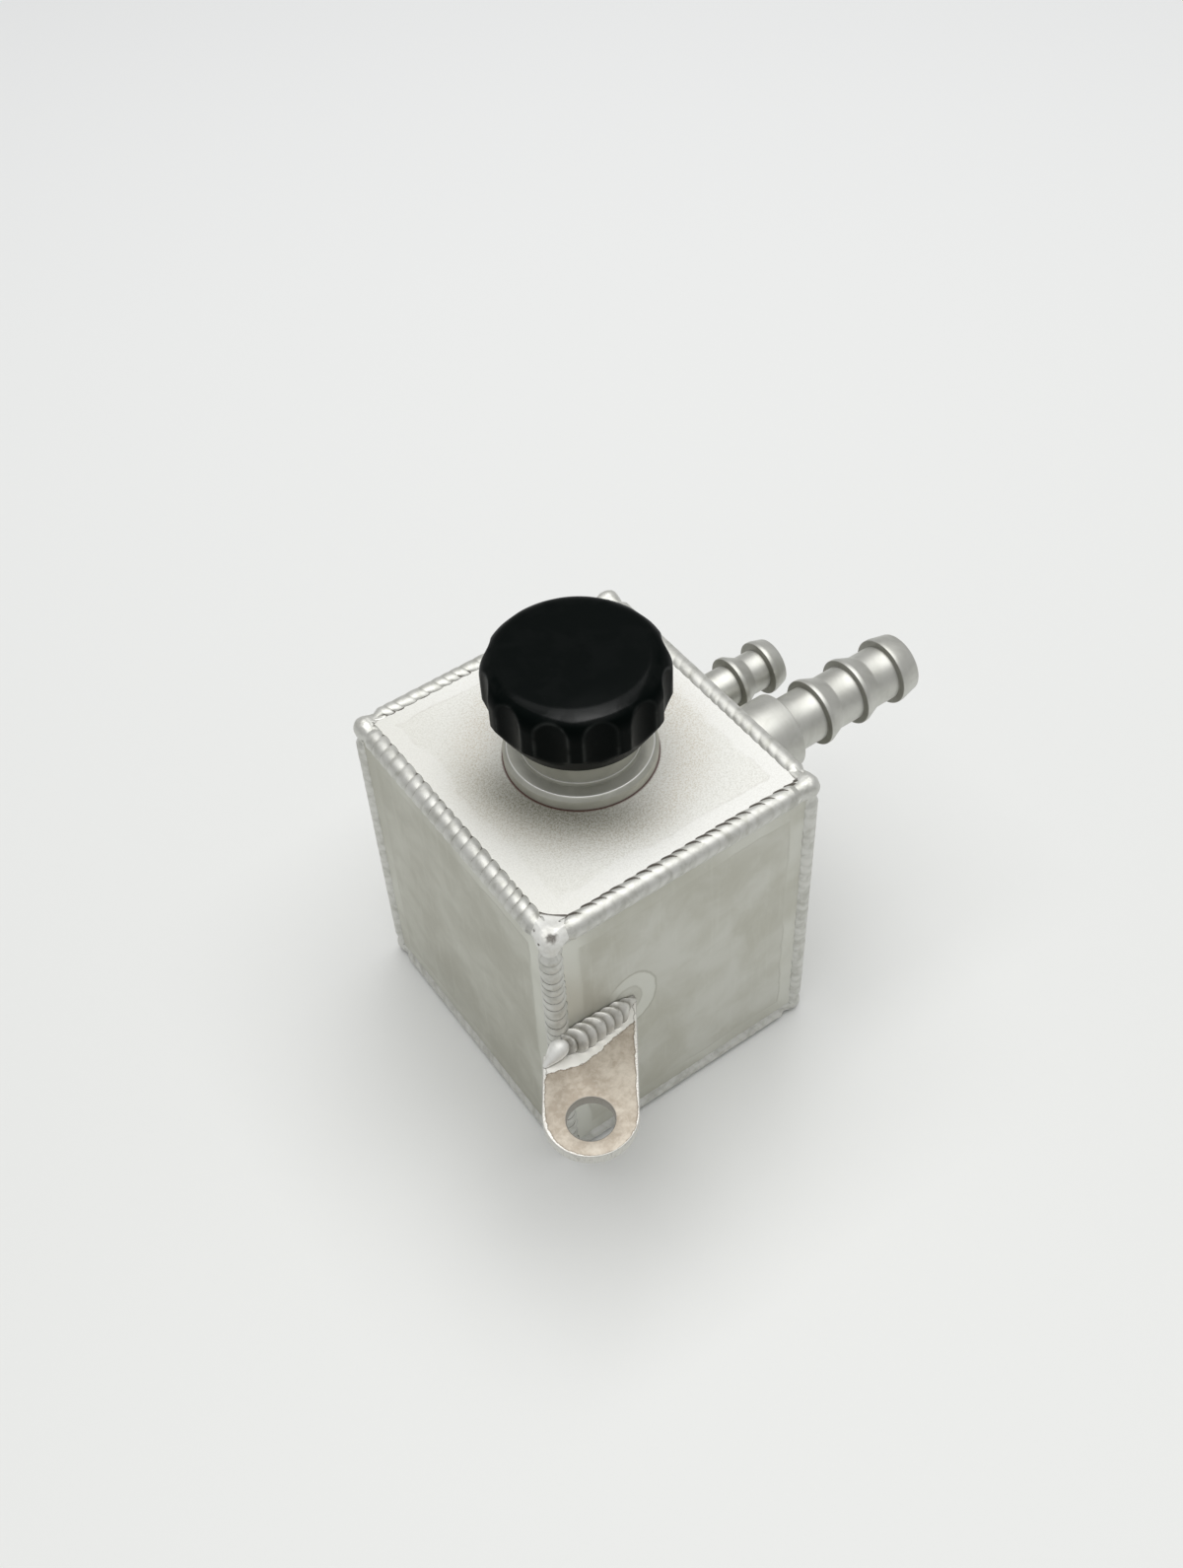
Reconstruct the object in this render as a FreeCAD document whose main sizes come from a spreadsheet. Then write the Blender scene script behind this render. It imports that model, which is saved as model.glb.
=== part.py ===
"""Power steering reservoir: a welded aluminium tank with a screw cap, two hose barbs and a tab.

All sizes are in millimetres. The origin is the centre of the face that the tank rests on, +Z is
up, the face that carries the mounting tab looks along -Y, and the hose barbs point along +X.
"""
import FreeCAD
import Part
import Sketcher
import os
from math import atan2, cos, radians, sin, sqrt

from FreeCAD import Vector

# Driving sizes: alias, value, meaning
SIZES = (
    ("width", 63.5, "tank over its sheets, X"),
    ("depth", 68.5, "tank over its sheets, Y"),
    ("height", 76.0, "tank over its sheets, Z"),
    ("wall", 3.0, "thickness of the tank's sheets"),
    ("slip_gap", 0.1, "radial play of a spigot in its sheet's hole"),
    ("hair_gap", 0.03, "gap beside curved faces that a weld closes"),
    ("seam_inset", 1.6, "seam bead's axis inside the two outer faces"),
    ("seam_toe", 0.4, "seam bead's crown over the sheets beside their notch"),
    ("neck_radius", 12.0, "outside of the filler neck"),
    ("neck_wall", 3.5, "wall of the filler neck"),
    ("neck_rise", 21.0, "neck's rim above the tank"),
    ("flange_width", 3.3, "neck's flange beyond the neck"),
    ("flange_thick", 3.1, "neck's flange"),
    ("flange_bevel", 0.9, "bevel round the flange's upper edge"),
    ("spigot_wall", 2.0, "wall of the neck's spigot in the top sheet"),
    ("spigot_reach", 2.0, "spigot below the top sheet"),
    ("neck_weld_leg", 1.7, "fillet inside the tank round the spigot"),
    ("ring_toe", 0.15, "fillet beads' thinnest edge"),
    ("cap_lip", 2.63, "cap's lower edge, from its bore outwards"),
    ("cap_flare", 3.35, "cone below the flutes, outwards"),
    ("cap_taper", 6.0, "cone below the flutes, upwards"),
    ("cap_roof", 4.0, "cap above its ceiling"),
    ("cap_hang", 10.6, "cap's lower edge above the tank"),
    ("cap_shoulder", 4.3, "radius of the rounded upper edge"),
    ("thread_gap", 0.07, "radial play between the cap and the neck"),
    ("flute_count", 12, "finger flutes round the cap"),
    ("flute_cutter", 6.8, "radius that the flutes are cut with"),
    ("flute_depth", 1.15, "depth of a flute"),
    ("flute_angle", 9.7, "degrees from +X to the first flute"),
    ("seal_thick", 1.5, "rubber washer under the cap's ceiling"),
    ("seal_gap", 0.1, "play over, under and round the washer"),
    ("barb_drop", 2.4, "feed barb's fillet below the top seam"),
    ("barb_space", 0.3, "between the fillets of the two barbs"),
    ("barb_land", 1.0, "level crest of a barb's ridge"),
    ("barb_weld_leg", 1.8, "fillets round the barbs"),
    ("boss_step", 2.3, "feed barb's boss above its shank"),
    ("boss_length", 12.4, "boss of the feed barb"),
    ("feed_shank", 6.1, "feed barb's radius between its ridges"),
    ("feed_wall", 1.5, "feed barb's wall between its ridges"),
    ("feed_step", 1.35, "ridge above the shank of the feed barb"),
    ("feed_end_step", 0.5, "feed barb's end above its shank"),
    ("feed_lead", 8.0, "boss to the feed barb's first ridge"),
    ("feed_pitch", 9.9, "step between the feed barb's ridges"),
    ("feed_taper", 3.4, "slope behind a ridge of the feed barb"),
    ("feed_tip", 5.0, "feed barb's last ridge to its end"),
    ("feed_ridges", 3, "ridges of the feed barb"),
    ("return_shank", 4.5, "return barb's radius between its ridges"),
    ("return_wall", 1.3, "return barb's wall between its ridges"),
    ("return_step", 1.55, "ridge above the shank of the return barb"),
    ("return_end_step", 0.75, "return barb's end above its shank"),
    ("return_lead", 12.2, "tank to the return barb's first ridge"),
    ("return_pitch", 7.9, "step between the return barb's ridges"),
    ("return_taper", 2.8, "slope behind a ridge of the return barb"),
    ("return_tip", 3.7, "return barb's last ridge to its end"),
    ("return_ridges", 2, "ridges of the return barb"),
    ("tab_top", 42.0, "upper face of the mounting tab above the base"),
    ("tab_thick", 2.5, "mounting tab"),
    ("tab_radius", 9.2, "half the tab's width and its rounded end"),
    ("tab_hole", 4.65, "radius of the tab's hole"),
    ("tab_angle", 35.0, "degrees that the tab leans to the left of square"),
    ("tab_reach", 16.65, "hole's centre in front of the front face"),
    ("tab_side", 3.65, "hole's centre beyond the left face"),
    ("tab_setback", 1.2, "rounded end's centre behind the hole's"),
    ("tab_weld_radius", 4.2, "tab bead's crown about the corner above the tab"),
    ("tab_weld_start", 0.6, "tab bead's left end from the left corner"),
    ("tab_weld_stop", 1.1, "tab bead's right end before the tab's right edge"),
    ("blob_radius", 3.3, "blob that wraps the tank's corner"),
    ("blob_offset", 0.9, "blob's centre outside the left and front faces"),
)

SHEET = "sizes"
CAP_FLATS = 3    # flats that the cap's rounded edge is turned in
DOME_FLATS = 2   # flats that the tab bead's blob is turned in
RING_SIDES = 16  # flats round a fillet bead

# Outward direction of each sheet of the tank
FACING = {
    "top": Vector(0, 0, 1),
    "base": Vector(0, 0, -1),
    "front": Vector(0, -1, 0),
    "back": Vector(0, 1, 0),
    "left": Vector(-1, 0, 0),
    "right": Vector(1, 0, 0),
}

# Pairs of sheets that meet in a seam
SEAMS = (
    ("top", "front"), ("top", "back"), ("top", "left"), ("top", "right"),
    ("base", "front"), ("base", "back"), ("base", "left"), ("base", "right"),
    ("front", "left"), ("front", "right"), ("back", "left"), ("back", "right"),
)


class Size:
    """A size with its number and the sheet formula that gives it."""

    def __init__(self, formula, value):
        self.formula = formula
        self.value = value

    @staticmethod
    def of(thing):
        return thing if isinstance(thing, Size) else Size(f"({thing})", thing)

    def __add__(self, other):
        other = Size.of(other)
        return Size(f"({self.formula} + {other.formula})", self.value + other.value)

    def __sub__(self, other):
        other = Size.of(other)
        return Size(f"({self.formula} - {other.formula})", self.value - other.value)

    def __mul__(self, other):
        other = Size.of(other)
        return Size(f"({self.formula} * {other.formula})", self.value * other.value)

    def __truediv__(self, other):
        other = Size.of(other)
        return Size(f"({self.formula} / {other.formula})", self.value / other.value)

    def __neg__(self):
        return Size(f"(0 - {self.formula})", -self.value)

    __radd__ = __add__
    __rmul__ = __mul__


ZERO = Size.of(0)


def size(alias):
    """The sheet's size of that name."""
    return Size(f"{SHEET}.{alias}", float(sheet.get(alias)))


def cosine(angle):
    """Cosine of an angle in degrees."""
    return Size(f"cos({angle.formula} * 1 deg)", cos(radians(angle.value)))


def sine(angle):
    """Sine of an angle in degrees."""
    return Size(f"sin({angle.formula} * 1 deg)", sin(radians(angle.value)))


def square_root(amount):
    return Size(f"sqrt({amount.formula})", sqrt(amount.value))


def bind(thing, name, amount):
    """Tie one property of an object to its formula."""
    thing.setExpression(name, Size.of(amount).formula)


def place(thing, x=ZERO, y=ZERO, z=ZERO, rotation=None):
    """Put a piece at a bound position, turned by a fixed rotation."""
    thing.Placement = FreeCAD.Placement(Vector(x.value, y.value, z.value), rotation or FreeCAD.Rotation())
    bind(thing, "Placement.Base.x", x)
    bind(thing, "Placement.Base.y", y)
    bind(thing, "Placement.Base.z", z)


def axes_rotation(x_axis, y_axis):
    """Rotation that turns local X and Y to two directions at right angles."""
    z_axis = x_axis.cross(y_axis)
    matrix = FreeCAD.Matrix(
        x_axis.x, y_axis.x, z_axis.x, 0,
        x_axis.y, y_axis.y, z_axis.y, 0,
        x_axis.z, y_axis.z, z_axis.z, 0,
        0, 0, 0, 1,
    )
    return FreeCAD.Placement(matrix).Rotation


def make_body(label):
    body = doc.addObject("PartDesign::Body", label)
    body.Label = label
    pieces.append(body)
    return body


def make_sketch(body, name, plane="XY_Plane", across=ZERO, lift=ZERO):
    """An empty sketch on one of the body's own planes, moved along its X and its normal."""
    sketch = body.newObject("Sketcher::SketchObject", f"{body.Label}_{name}")
    support = next(item for item in body.Origin.OriginFeatures if item.Role == plane)
    sketch.AttachmentSupport = (support, [""])
    sketch.MapMode = "FlatFace"
    bind(sketch, "AttachmentOffset.Base.x", across)
    bind(sketch, "AttachmentOffset.Base.z", lift)
    return sketch


def pin_point(sketch, item, end, x, y):
    """Fix a point of the sketch at a bound place."""
    for kind, amount, axis in (("DistanceX", x, -2), ("DistanceY", y, -1)):
        if amount is ZERO:
            sketch.addConstraint(Sketcher.Constraint("PointOnObject", item, end, axis))
        else:
            index = sketch.addConstraint(Sketcher.Constraint(kind, -1, 1, item, end, amount.value))
            bind(sketch, f"Constraints[{index}]", amount)


def draw_loop(sketch, corners):
    """Closed outline. A corner is (x, y) or (x, y, bend): bend is the radius of an arc that leaves
    it, positive where the outline turns left."""
    corners = [corner if len(corner) == 3 else (*corner, None) for corner in corners]
    ends = []
    for index, (x, y, bend) in enumerate(corners):
        next_x, next_y, _ = corners[(index + 1) % len(corners)]
        start = Vector(x.value, y.value, 0)
        stop = Vector(next_x.value, next_y.value, 0)
        if bend is None:
            item = sketch.addGeometry(Part.LineSegment(start, stop))
            ends.append((item, 1, 2))
        else:
            item, first, last = draw_arc(sketch, start, stop, bend)
            ends.append((item, first, last))
    for index, (x, y, _) in enumerate(corners):
        item, first, _ = ends[index]
        previous, _, last = ends[index - 1]
        sketch.addConstraint(Sketcher.Constraint("Coincident", previous, last, item, first))
        pin_point(sketch, item, first, x, y)


def draw_arc(sketch, start, stop, bend):
    """Arc of a bound radius; gives its index and which of its ends start and stop are."""
    radius = abs(bend.value)
    side = 1 if bend.value > 0 else -1
    chord = stop - start
    sagitta_leg = sqrt(max(radius ** 2 - (chord.Length / 2) ** 2, 0))
    left = Vector(-chord.y, chord.x, 0).normalize()
    centre = start + chord * 0.5 + left * (side * sagitta_leg)
    low, high = (start, stop) if side > 0 else (stop, start)
    angles = [atan2(point.y - centre.y, point.x - centre.x) for point in (low, high)]
    circle = Part.Circle(centre, Vector(0, 0, 1), radius)
    item = sketch.addGeometry(Part.ArcOfCircle(circle, angles[0], angles[1]))
    index = sketch.addConstraint(Sketcher.Constraint("Radius", item, radius))
    bind(sketch, f"Constraints[{index}]", bend if side > 0 else -bend)
    return (item, 1, 2) if side > 0 else (item, 2, 1)


def draw_circle(sketch, x, y, radius):
    item = sketch.addGeometry(Part.Circle(Vector(x.value, y.value, 0), Vector(0, 0, 1), radius.value))
    pin_point(sketch, item, 3, x, y)
    index = sketch.addConstraint(Sketcher.Constraint("Radius", item, radius.value))
    bind(sketch, f"Constraints[{index}]", radius)


def pad(body, sketch, length, reverse=False, midplane=False):
    feature = body.newObject("PartDesign::Pad", f"{sketch.Name}_pad")
    feature.Profile = sketch
    feature.Reversed = reverse
    feature.Midplane = midplane
    bind(feature, "Length", length)
    return feature


def cut_through(body, sketch):
    """Cut the sketch's outline out of the whole body, both ways from its plane."""
    doc.recompute()
    before = body.Shape.Volume
    feature = body.newObject("PartDesign::Pocket", f"{sketch.Name}_cut")
    feature.Profile = sketch
    feature.Type = "ThroughAll"
    feature.Midplane = True
    doc.recompute()
    if body.Shape.Volume > before - 1e-6:
        raise RuntimeError(f"{feature.Name} removes nothing")
    return feature


def revolve(body, sketch, axis="V_Axis", turn=360.0, reverse=False):
    feature = body.newObject("PartDesign::Revolution", f"{sketch.Name}_turned")
    feature.Profile = sketch
    feature.ReferenceAxis = (sketch, [axis])
    feature.Angle = turn
    feature.Reversed = reverse
    return feature


def quarter_round(x, y, radius, flats):
    """Corners of a quarter circle about (x, y) from its +X side to its +Y side, in flats."""
    turns = [Size.of(90 * step / flats) for step in range(flats + 1)]
    return [(x + radius * cosine(turn), y + radius * sine(turn)) for turn in turns]


def turned_piece(label, profile):
    """A body turned about its own Z from a profile of (radius, height) corners."""
    body = make_body(label)
    sketch = make_sketch(body, "profile", "XZ_Plane")
    draw_loop(sketch, profile)
    revolve(body, sketch)
    return body


def face_centre(side):
    """Centre of a tank face, as three bound coordinates."""
    facing = FACING[side]
    x = width / 2 * int(facing.x) if facing.x else ZERO
    y = depth / 2 * int(facing.y) if facing.y else ZERO
    z = {"top": height, "base": ZERO}.get(side, height / 2)
    return x, y, z


def inside_extents(side):
    """The two sizes of a sheet, which stops one wall short of each outer face."""
    clear = {"x": width - 2 * wall, "y": depth - 2 * wall, "z": height - 2 * wall}
    across = {"top": ("x", "y"), "base": ("x", "y"), "front": ("x", "z"), "back": ("x", "z"),
              "left": ("y", "z"), "right": ("y", "z")}[side]
    return clear[across[0]], clear[across[1]]


def sheet_rotation(side):
    """Local Z outward, local X along the sheet's first extent."""
    facing = FACING[side]
    first = Vector(0, 1, 0) if facing.x else Vector(1, 0, 0)
    return axes_rotation(first, facing.cross(first))


def tank_sheet(side, holes=()):
    """One flat sheet of the tank, its outer face on local Z = 0, with round holes."""
    body = make_body(f"{side}_plate")
    half_x, half_y = (extent / 2 for extent in inside_extents(side))
    outline = make_sketch(body, "outline")
    draw_loop(outline, [(-half_x, -half_y), (half_x, -half_y), (half_x, half_y), (-half_x, half_y)])
    pad(body, outline, wall, reverse=True)
    if holes:
        drilling = make_sketch(body, "holes")
        for x, y, radius in holes:
            draw_circle(drilling, x, y, radius)
        cut_through(body, drilling)
    x, y, z = face_centre(side)
    place(body, x, y, z, sheet_rotation(side))
    return body


def seam_radius():
    """Crown of a seam bead, which passes through its two toes on the outer faces."""
    inset = size("seam_inset")
    along = wall + size("seam_toe") - inset
    return square_root(inset * inset + along * along)


def seam_weld(first, second):
    """Bead along the edge of two sheets: it fills their notch and stands out in a round crown. Local X
    and Y run inward along the two outer faces, Z along the edge. Both ends are mitred to the beads
    that they meet in the tank's corner."""
    label = f"{first}_{second}_weld"
    inward_x = -FACING[first]
    inward_y = -FACING[second]
    run = inward_x.cross(inward_y)
    length = width if run.x else depth if run.y else height
    radius = seam_radius()
    toe = wall + size("seam_toe")
    ridge = size("seam_inset") - radius * sine(Size.of(45))
    body = make_body(label)
    section = make_sketch(body, "section")
    draw_loop(section, [
        (ZERO, toe, radius), (ridge, ridge, radius),
        (toe, ZERO), (wall, ZERO), (wall, wall), (ZERO, wall),
    ])
    pad(body, section, length + 4 * radius, midplane=True)
    for plane in ("XZ_Plane", "YZ_Plane"):
        mitres = make_sketch(body, f"mitres_{plane[0]}", plane)
        reach = 2 * radius
        for end in (1, -1):
            draw_loop(mitres, [
                (-reach, end * (length / 2 + reach)), (reach, end * (length / 2 - reach)),
                (reach, end * (length / 2 + reach)),
            ])
        cut_through(body, mitres)
    centres = [face_centre(side) for side in (first, second)]
    x, y = (next((centre[axis] for centre in centres if centre[axis] is not ZERO), ZERO) for axis in (0, 1))
    z = next((face_centre(side)[2] for side in (first, second) if side in ("top", "base")), height / 2)
    place(body, x, y, z, axes_rotation(inward_x, inward_y))


def barb_axes():
    """Half the distance between the axes of the two hose barbs, and their height above the base."""
    leg = size("barb_weld_leg")
    boss = size("feed_shank") + size("boss_step")
    half_distance = (boss + size("return_shank") + 2 * leg + size("barb_space")) / 2
    lift = height - wall - size("seam_toe") - size("barb_drop") - leg - boss
    return half_distance, lift


def make_tank():
    """Six sheets and the twelve beads that join them."""
    offset, lift = barb_axes()
    bore = size("neck_radius") - size("neck_wall")
    tank_sheet("top", [(ZERO, ZERO, bore + size("spigot_wall") + size("slip_gap"))])
    for side in ("base", "front", "back", "left"):
        tank_sheet(side)
    tank_sheet("right", [
        (-offset, lift - height / 2, size("feed_shank") - size("feed_wall")),
        (offset, lift - height / 2, size("return_shank") - size("return_wall")),
    ])
    for first, second in SEAMS:
        seam_weld(first, second)


def make_neck():
    """Turned filler neck with a flange on the tank and a spigot through the top sheet."""
    radius = size("neck_radius")
    bore = radius - size("neck_wall")
    rise = size("neck_rise")
    flange = radius + size("flange_width")
    thick = size("flange_thick")
    bevel = size("flange_bevel")
    spigot = bore + size("spigot_wall")
    end = -(wall + size("spigot_reach"))
    neck = turned_piece("filler_neck", [
        (bore, end), (spigot, end), (spigot, ZERO), (flange, ZERO),
        (flange, thick - bevel), (flange - bevel, thick), (radius, thick), (radius, rise), (bore, rise),
    ])
    place(neck, z=height)
    make_ring_weld(
        "neck_weld", spigot, size("neck_weld_leg"),
        z=height - wall, rotation=axes_rotation(Vector(1, 0, 0), Vector(0, -1, 0)),
    )


def regular_polygon(radius):
    """Corners of a polygon with its corners on a circle about the origin."""
    turns = [Size.of(360 * step / RING_SIDES) for step in range(RING_SIDES)]
    return [(radius * cosine(turn), radius * sine(turn)) for turn in turns]


def make_ring_weld(label, inner, leg, x=ZERO, y=ZERO, z=ZERO, rotation=None):
    """Fillet bead in flats round a spigot or a barb, on the face at local Z = 0."""
    toe = size("ring_toe")
    start = (inner + size("hair_gap")) / cosine(Size.of(180 / RING_SIDES))
    body = make_body(label)
    outline = make_sketch(body, "outline")
    draw_loop(outline, regular_polygon(start + toe + leg))
    fillet = pad(body, outline, leg)
    fillet.TaperAngle = -45.0
    inside = make_sketch(body, "inside")
    draw_loop(inside, regular_polygon(start))
    cut_through(body, inside)
    place(body, x, y, z, rotation)


def make_cap():
    """Turned cap with finger flutes, a bore that screws over the neck and a flat ceiling."""
    bore = size("neck_radius") + size("thread_gap")
    foot = bore + size("cap_lip")
    radius = foot + size("cap_flare")
    ceiling = size("neck_rise") - size("cap_hang") + size("seal_thick") + 2 * size("seal_gap")
    tall = ceiling + size("cap_roof")
    shoulder = size("cap_shoulder")
    cap = turned_piece("cap", [
        (bore, ZERO), (foot, ZERO), (radius, size("cap_taper")),
        *quarter_round(radius - shoulder, tall - shoulder, shoulder, CAP_FLATS),
        (ZERO, tall), (ZERO, ceiling), (bore, ceiling),
    ])
    reach = radius - size("flute_depth") + size("flute_cutter")
    turn = size("flute_angle")
    flute = make_sketch(cap, "flute")
    draw_circle(flute, reach * cosine(turn), reach * sine(turn), size("flute_cutter"))
    first_cut = cut_through(cap, flute)
    pattern = cap.newObject("PartDesign::PolarPattern", "cap_flutes")
    pattern.Originals = [first_cut]
    pattern.Axis = (flute, ["N_Axis"])
    pattern.Angle = 360
    bind(pattern, "Occurrences", size("flute_count"))
    cap.Tip = pattern
    place(cap, z=height + size("cap_hang"))


def make_seal():
    """Flat rubber washer between the neck's rim and the cap's ceiling."""
    inner = size("neck_radius") - size("neck_wall")
    outer = size("neck_radius") + size("thread_gap") - size("seal_gap")
    thick = size("seal_thick")
    seal = turned_piece("cap_seal", [(inner, ZERO), (outer, ZERO), (outer, thick), (inner, thick)])
    place(seal, z=height + size("neck_rise") + size("seal_gap"))


def barb_profile(name, first_ridge, foot):
    """Profile of a hose barb on the face at local Z = 0. Each ridge has its step towards the tank
    and its slope towards the open end; foot holds the corners below the first ridge."""
    shank = size(f"{name}_shank")
    ridge = shank + size(f"{name}_step")
    bore = shank - size(f"{name}_wall")
    land = size("barb_land")
    corners = [(bore, ZERO), *foot]
    count = int(size(f"{name}_ridges").value)
    for index in range(count):
        step = first_ridge + size(f"{name}_pitch") * index if index else first_ridge
        corners += [(shank, step), (ridge, step), (ridge, step + land)]
        if index < count - 1:
            corners.append((shank, step + land + size(f"{name}_taper")))
    tip = shank + size(f"{name}_end_step")
    end = step + size(f"{name}_tip")
    return corners + [(tip, end), (bore, end)]


def make_barbs():
    """Feed barb with a boss, plain return barb, and the fillets that join them to the tank."""
    shank = size("feed_shank")
    boss = shank + size("boss_step")
    boss_end = size("boss_length")
    feed_foot = [(boss, ZERO), (boss, boss_end), (shank, boss_end)]
    return_foot = [(size("return_shank"), ZERO)]
    feed = turned_piece("feed_barb", barb_profile("feed", boss_end + size("feed_lead"), feed_foot))
    back = turned_piece("return_barb", barb_profile("return", size("return_lead"), return_foot))
    outward = axes_rotation(Vector(0, 0, -1), Vector(0, 1, 0))
    offset, lift = barb_axes()
    leg = size("barb_weld_leg")
    place(feed, width / 2, -offset, lift, outward)
    place(back, width / 2, offset, lift, outward)
    make_ring_weld("feed_barb_weld", boss, leg, width / 2, -offset, lift, outward)
    make_ring_weld("return_barb_weld", size("return_shank"), leg, width / 2, offset, lift, outward)


def seam_relief(sketch, x, y):
    """Round notch that clears the upright bead at the tank's front left corner."""
    draw_circle(sketch, x, y, seam_radius() + size("hair_gap"))


def tab_side_length(across):
    """Length of the tab from beside its hole to the front face, along a line beside its middle."""
    skew = size("tab_angle")
    return (size("tab_reach") + across * sine(skew)) / cosine(skew)


def make_tab():
    """Flat mounting tab, skewed to the left, with its root against the front face. Local X runs
    along the tab from its hole to its rounded end."""
    half = size("tab_radius")
    skew = size("tab_angle")
    reach = size("tab_reach")
    centre = -size("tab_setback")
    body = make_body("mount_tab")
    outline = make_sketch(body, "outline")
    left_root = -tab_side_length(-half)
    right_root = -tab_side_length(half)
    draw_loop(outline, [
        (left_root, -half), (centre, -half, half), (centre + half, ZERO, half), (centre, half),
        (right_root, half),
    ])
    pad(body, outline, size("tab_thick"), reverse=True)
    hole = make_sketch(body, "hole")
    draw_circle(hole, ZERO, ZERO, size("tab_hole"))
    cut_through(body, hole)
    relief = make_sketch(body, "relief")
    inset = size("seam_inset")
    beside = size("tab_side") + inset
    behind = reach + inset
    seam_relief(
        relief,
        -(beside * sine(skew) + behind * cosine(skew)),
        beside * cosine(skew) - behind * sine(skew),
    )
    cut_through(body, relief)
    turn = skew + 90
    place(
        body, -(width / 2) - size("tab_side"), -(depth / 2) - reach, size("tab_top"),
        FreeCAD.Rotation(Vector(0, 0, -1), turn.value),
    )
    bind(body, "Placement.Rotation.Angle", turn)


def make_tab_weld():
    """Crown of the bead in the corner above the tab, with a blob round the tank's corner. Local X
    runs from the tank's left corner, Y inward and Z up from the tab."""
    crown = size("tab_weld_radius")
    skew = size("tab_angle")
    half = size("tab_radius")
    right_edge = tab_side_length(half) * sine(skew) + half * cosine(skew) - size("tab_side")
    start = size("tab_weld_start")
    end = right_edge - size("tab_weld_stop")
    body = make_body("tab_weld")
    outline = make_sketch(body, "outline")
    draw_loop(outline, [(start, ZERO), (start, -crown), (end, -crown), (end, ZERO)])
    revolve(body, outline, "H_Axis", 90.0, reverse=True)
    offset = size("blob_offset")
    blob = make_sketch(body, "blob", "XZ_Plane", -offset, offset)
    draw_loop(blob, [(ZERO, ZERO), *quarter_round(ZERO, ZERO, size("blob_radius"), DOME_FLATS)])
    revolve(body, blob)
    tank_side = make_sketch(body, "tank_side")
    draw_loop(tank_side, [(ZERO, ZERO), (width / 2, ZERO), (width / 2, 2 * crown), (ZERO, 2 * crown)])
    cut_through(body, tank_side)
    relief = make_sketch(body, "relief")
    seam_relief(relief, size("seam_inset"), size("seam_inset"))
    cut_through(body, relief)
    place(body, -(width / 2), -(depth / 2), size("tab_top"))


def write_parts():
    """Check every object and export each piece to its own file."""
    doc.recompute()
    for item in doc.Objects:
        if "Invalid" in item.State or "Error" in item.State:
            raise RuntimeError(f"{item.Label} failed: {item.State}")
    os.makedirs("parts", exist_ok=True)
    for piece in pieces:
        shape = piece.Shape
        if shape.isNull() or not shape.isValid() or len(shape.Solids) != 1:
            raise RuntimeError(f"{piece.Label} is not one valid solid")
        shape.exportStep(f"parts/{piece.Label}.step")
        print(f"{piece.Label}: {shape.Volume:.1f} mm3, {len(shape.Faces)} faces")


doc = FreeCAD.newDocument("reservoir")
sheet = doc.addObject("Spreadsheet::Sheet", SHEET)
for row, (alias, value, meaning) in enumerate(SIZES, 1):
    sheet.set(f"A{row}", meaning)
    sheet.set(f"B{row}", str(value))
    sheet.setAlias(f"B{row}", alias)
doc.recompute()

pieces = []
width = size("width")
depth = size("depth")
height = size("height")
wall = size("wall")

make_tank()
make_neck()
make_cap()
make_seal()
make_barbs()
make_tab()
make_tab_weld()
write_parts()
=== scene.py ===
"""Look of a welded aluminium power steering reservoir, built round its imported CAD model.

Lengths are in metres in the model's own frame: the origin is at the middle of the tank's base,
X runs towards the hose barbs, the mounting tab is on the low Y side and Z is up.
"""

import logging
import math
import random
from contextlib import contextmanager
from dataclasses import dataclass, field
from enum import Enum
from typing import Any, Callable, Iterator, Optional, Sequence, Union

import bpy
from mathutils import Matrix, Vector, noise


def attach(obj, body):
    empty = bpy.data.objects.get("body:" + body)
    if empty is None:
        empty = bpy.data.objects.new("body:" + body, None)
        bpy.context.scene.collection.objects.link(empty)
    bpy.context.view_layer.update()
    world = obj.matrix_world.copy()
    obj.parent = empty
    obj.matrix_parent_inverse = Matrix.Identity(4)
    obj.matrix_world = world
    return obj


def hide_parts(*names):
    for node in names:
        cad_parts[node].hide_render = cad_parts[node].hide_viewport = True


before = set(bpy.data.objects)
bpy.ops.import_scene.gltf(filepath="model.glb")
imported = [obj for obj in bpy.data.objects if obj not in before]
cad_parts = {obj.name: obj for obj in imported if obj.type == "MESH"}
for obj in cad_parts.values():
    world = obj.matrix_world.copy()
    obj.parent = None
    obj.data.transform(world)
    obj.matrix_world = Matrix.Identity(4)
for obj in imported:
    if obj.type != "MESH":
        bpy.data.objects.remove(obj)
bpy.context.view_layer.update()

MM = 0.001
HALVINGS = 13

log = logging.getLogger("reservoir")

Colour = tuple[float, float, float, float]
Corner = tuple[int, int, int]
Marked = tuple[Vector, float, float]


def tone(red: int, green: int, blue: int) -> Colour:
    """Turns a screen colour of 0 to 255 into the linear colour that a shader takes.

    Args:
        red: Red part on the screen.
        green: Green part on the screen.
        blue: Blue part on the screen.

    Returns:
        Linear red, green, blue and an alpha of 1.
    """
    def linear(part: int) -> float:
        """Linear amount of one part of a screen colour."""
        share = part / 255
        return share / 12.92 if share <= 0.04045 else ((share + 0.055) / 1.055) ** 2.4

    return linear(red), linear(green), linear(blue), 1.0


def flat_distance(first: Any, second: Any) -> Any:
    """Length of a step whose two legs are readings at right angles."""
    return (first * first + second * second) ** 0.5


def smooth_step(low: float, high: float, at: float) -> float:
    """Rises smoothly from 0 at low to 1 at high.

    Args:
        low: Where the rise starts.
        high: Where it ends.
        at: Where it is read.

    Returns:
        Amount between 0 and 1.
    """
    share = min(1.0, max(0.0, (at - low) / (high - low)))
    return share * share * (3 - 2 * share)


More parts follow.
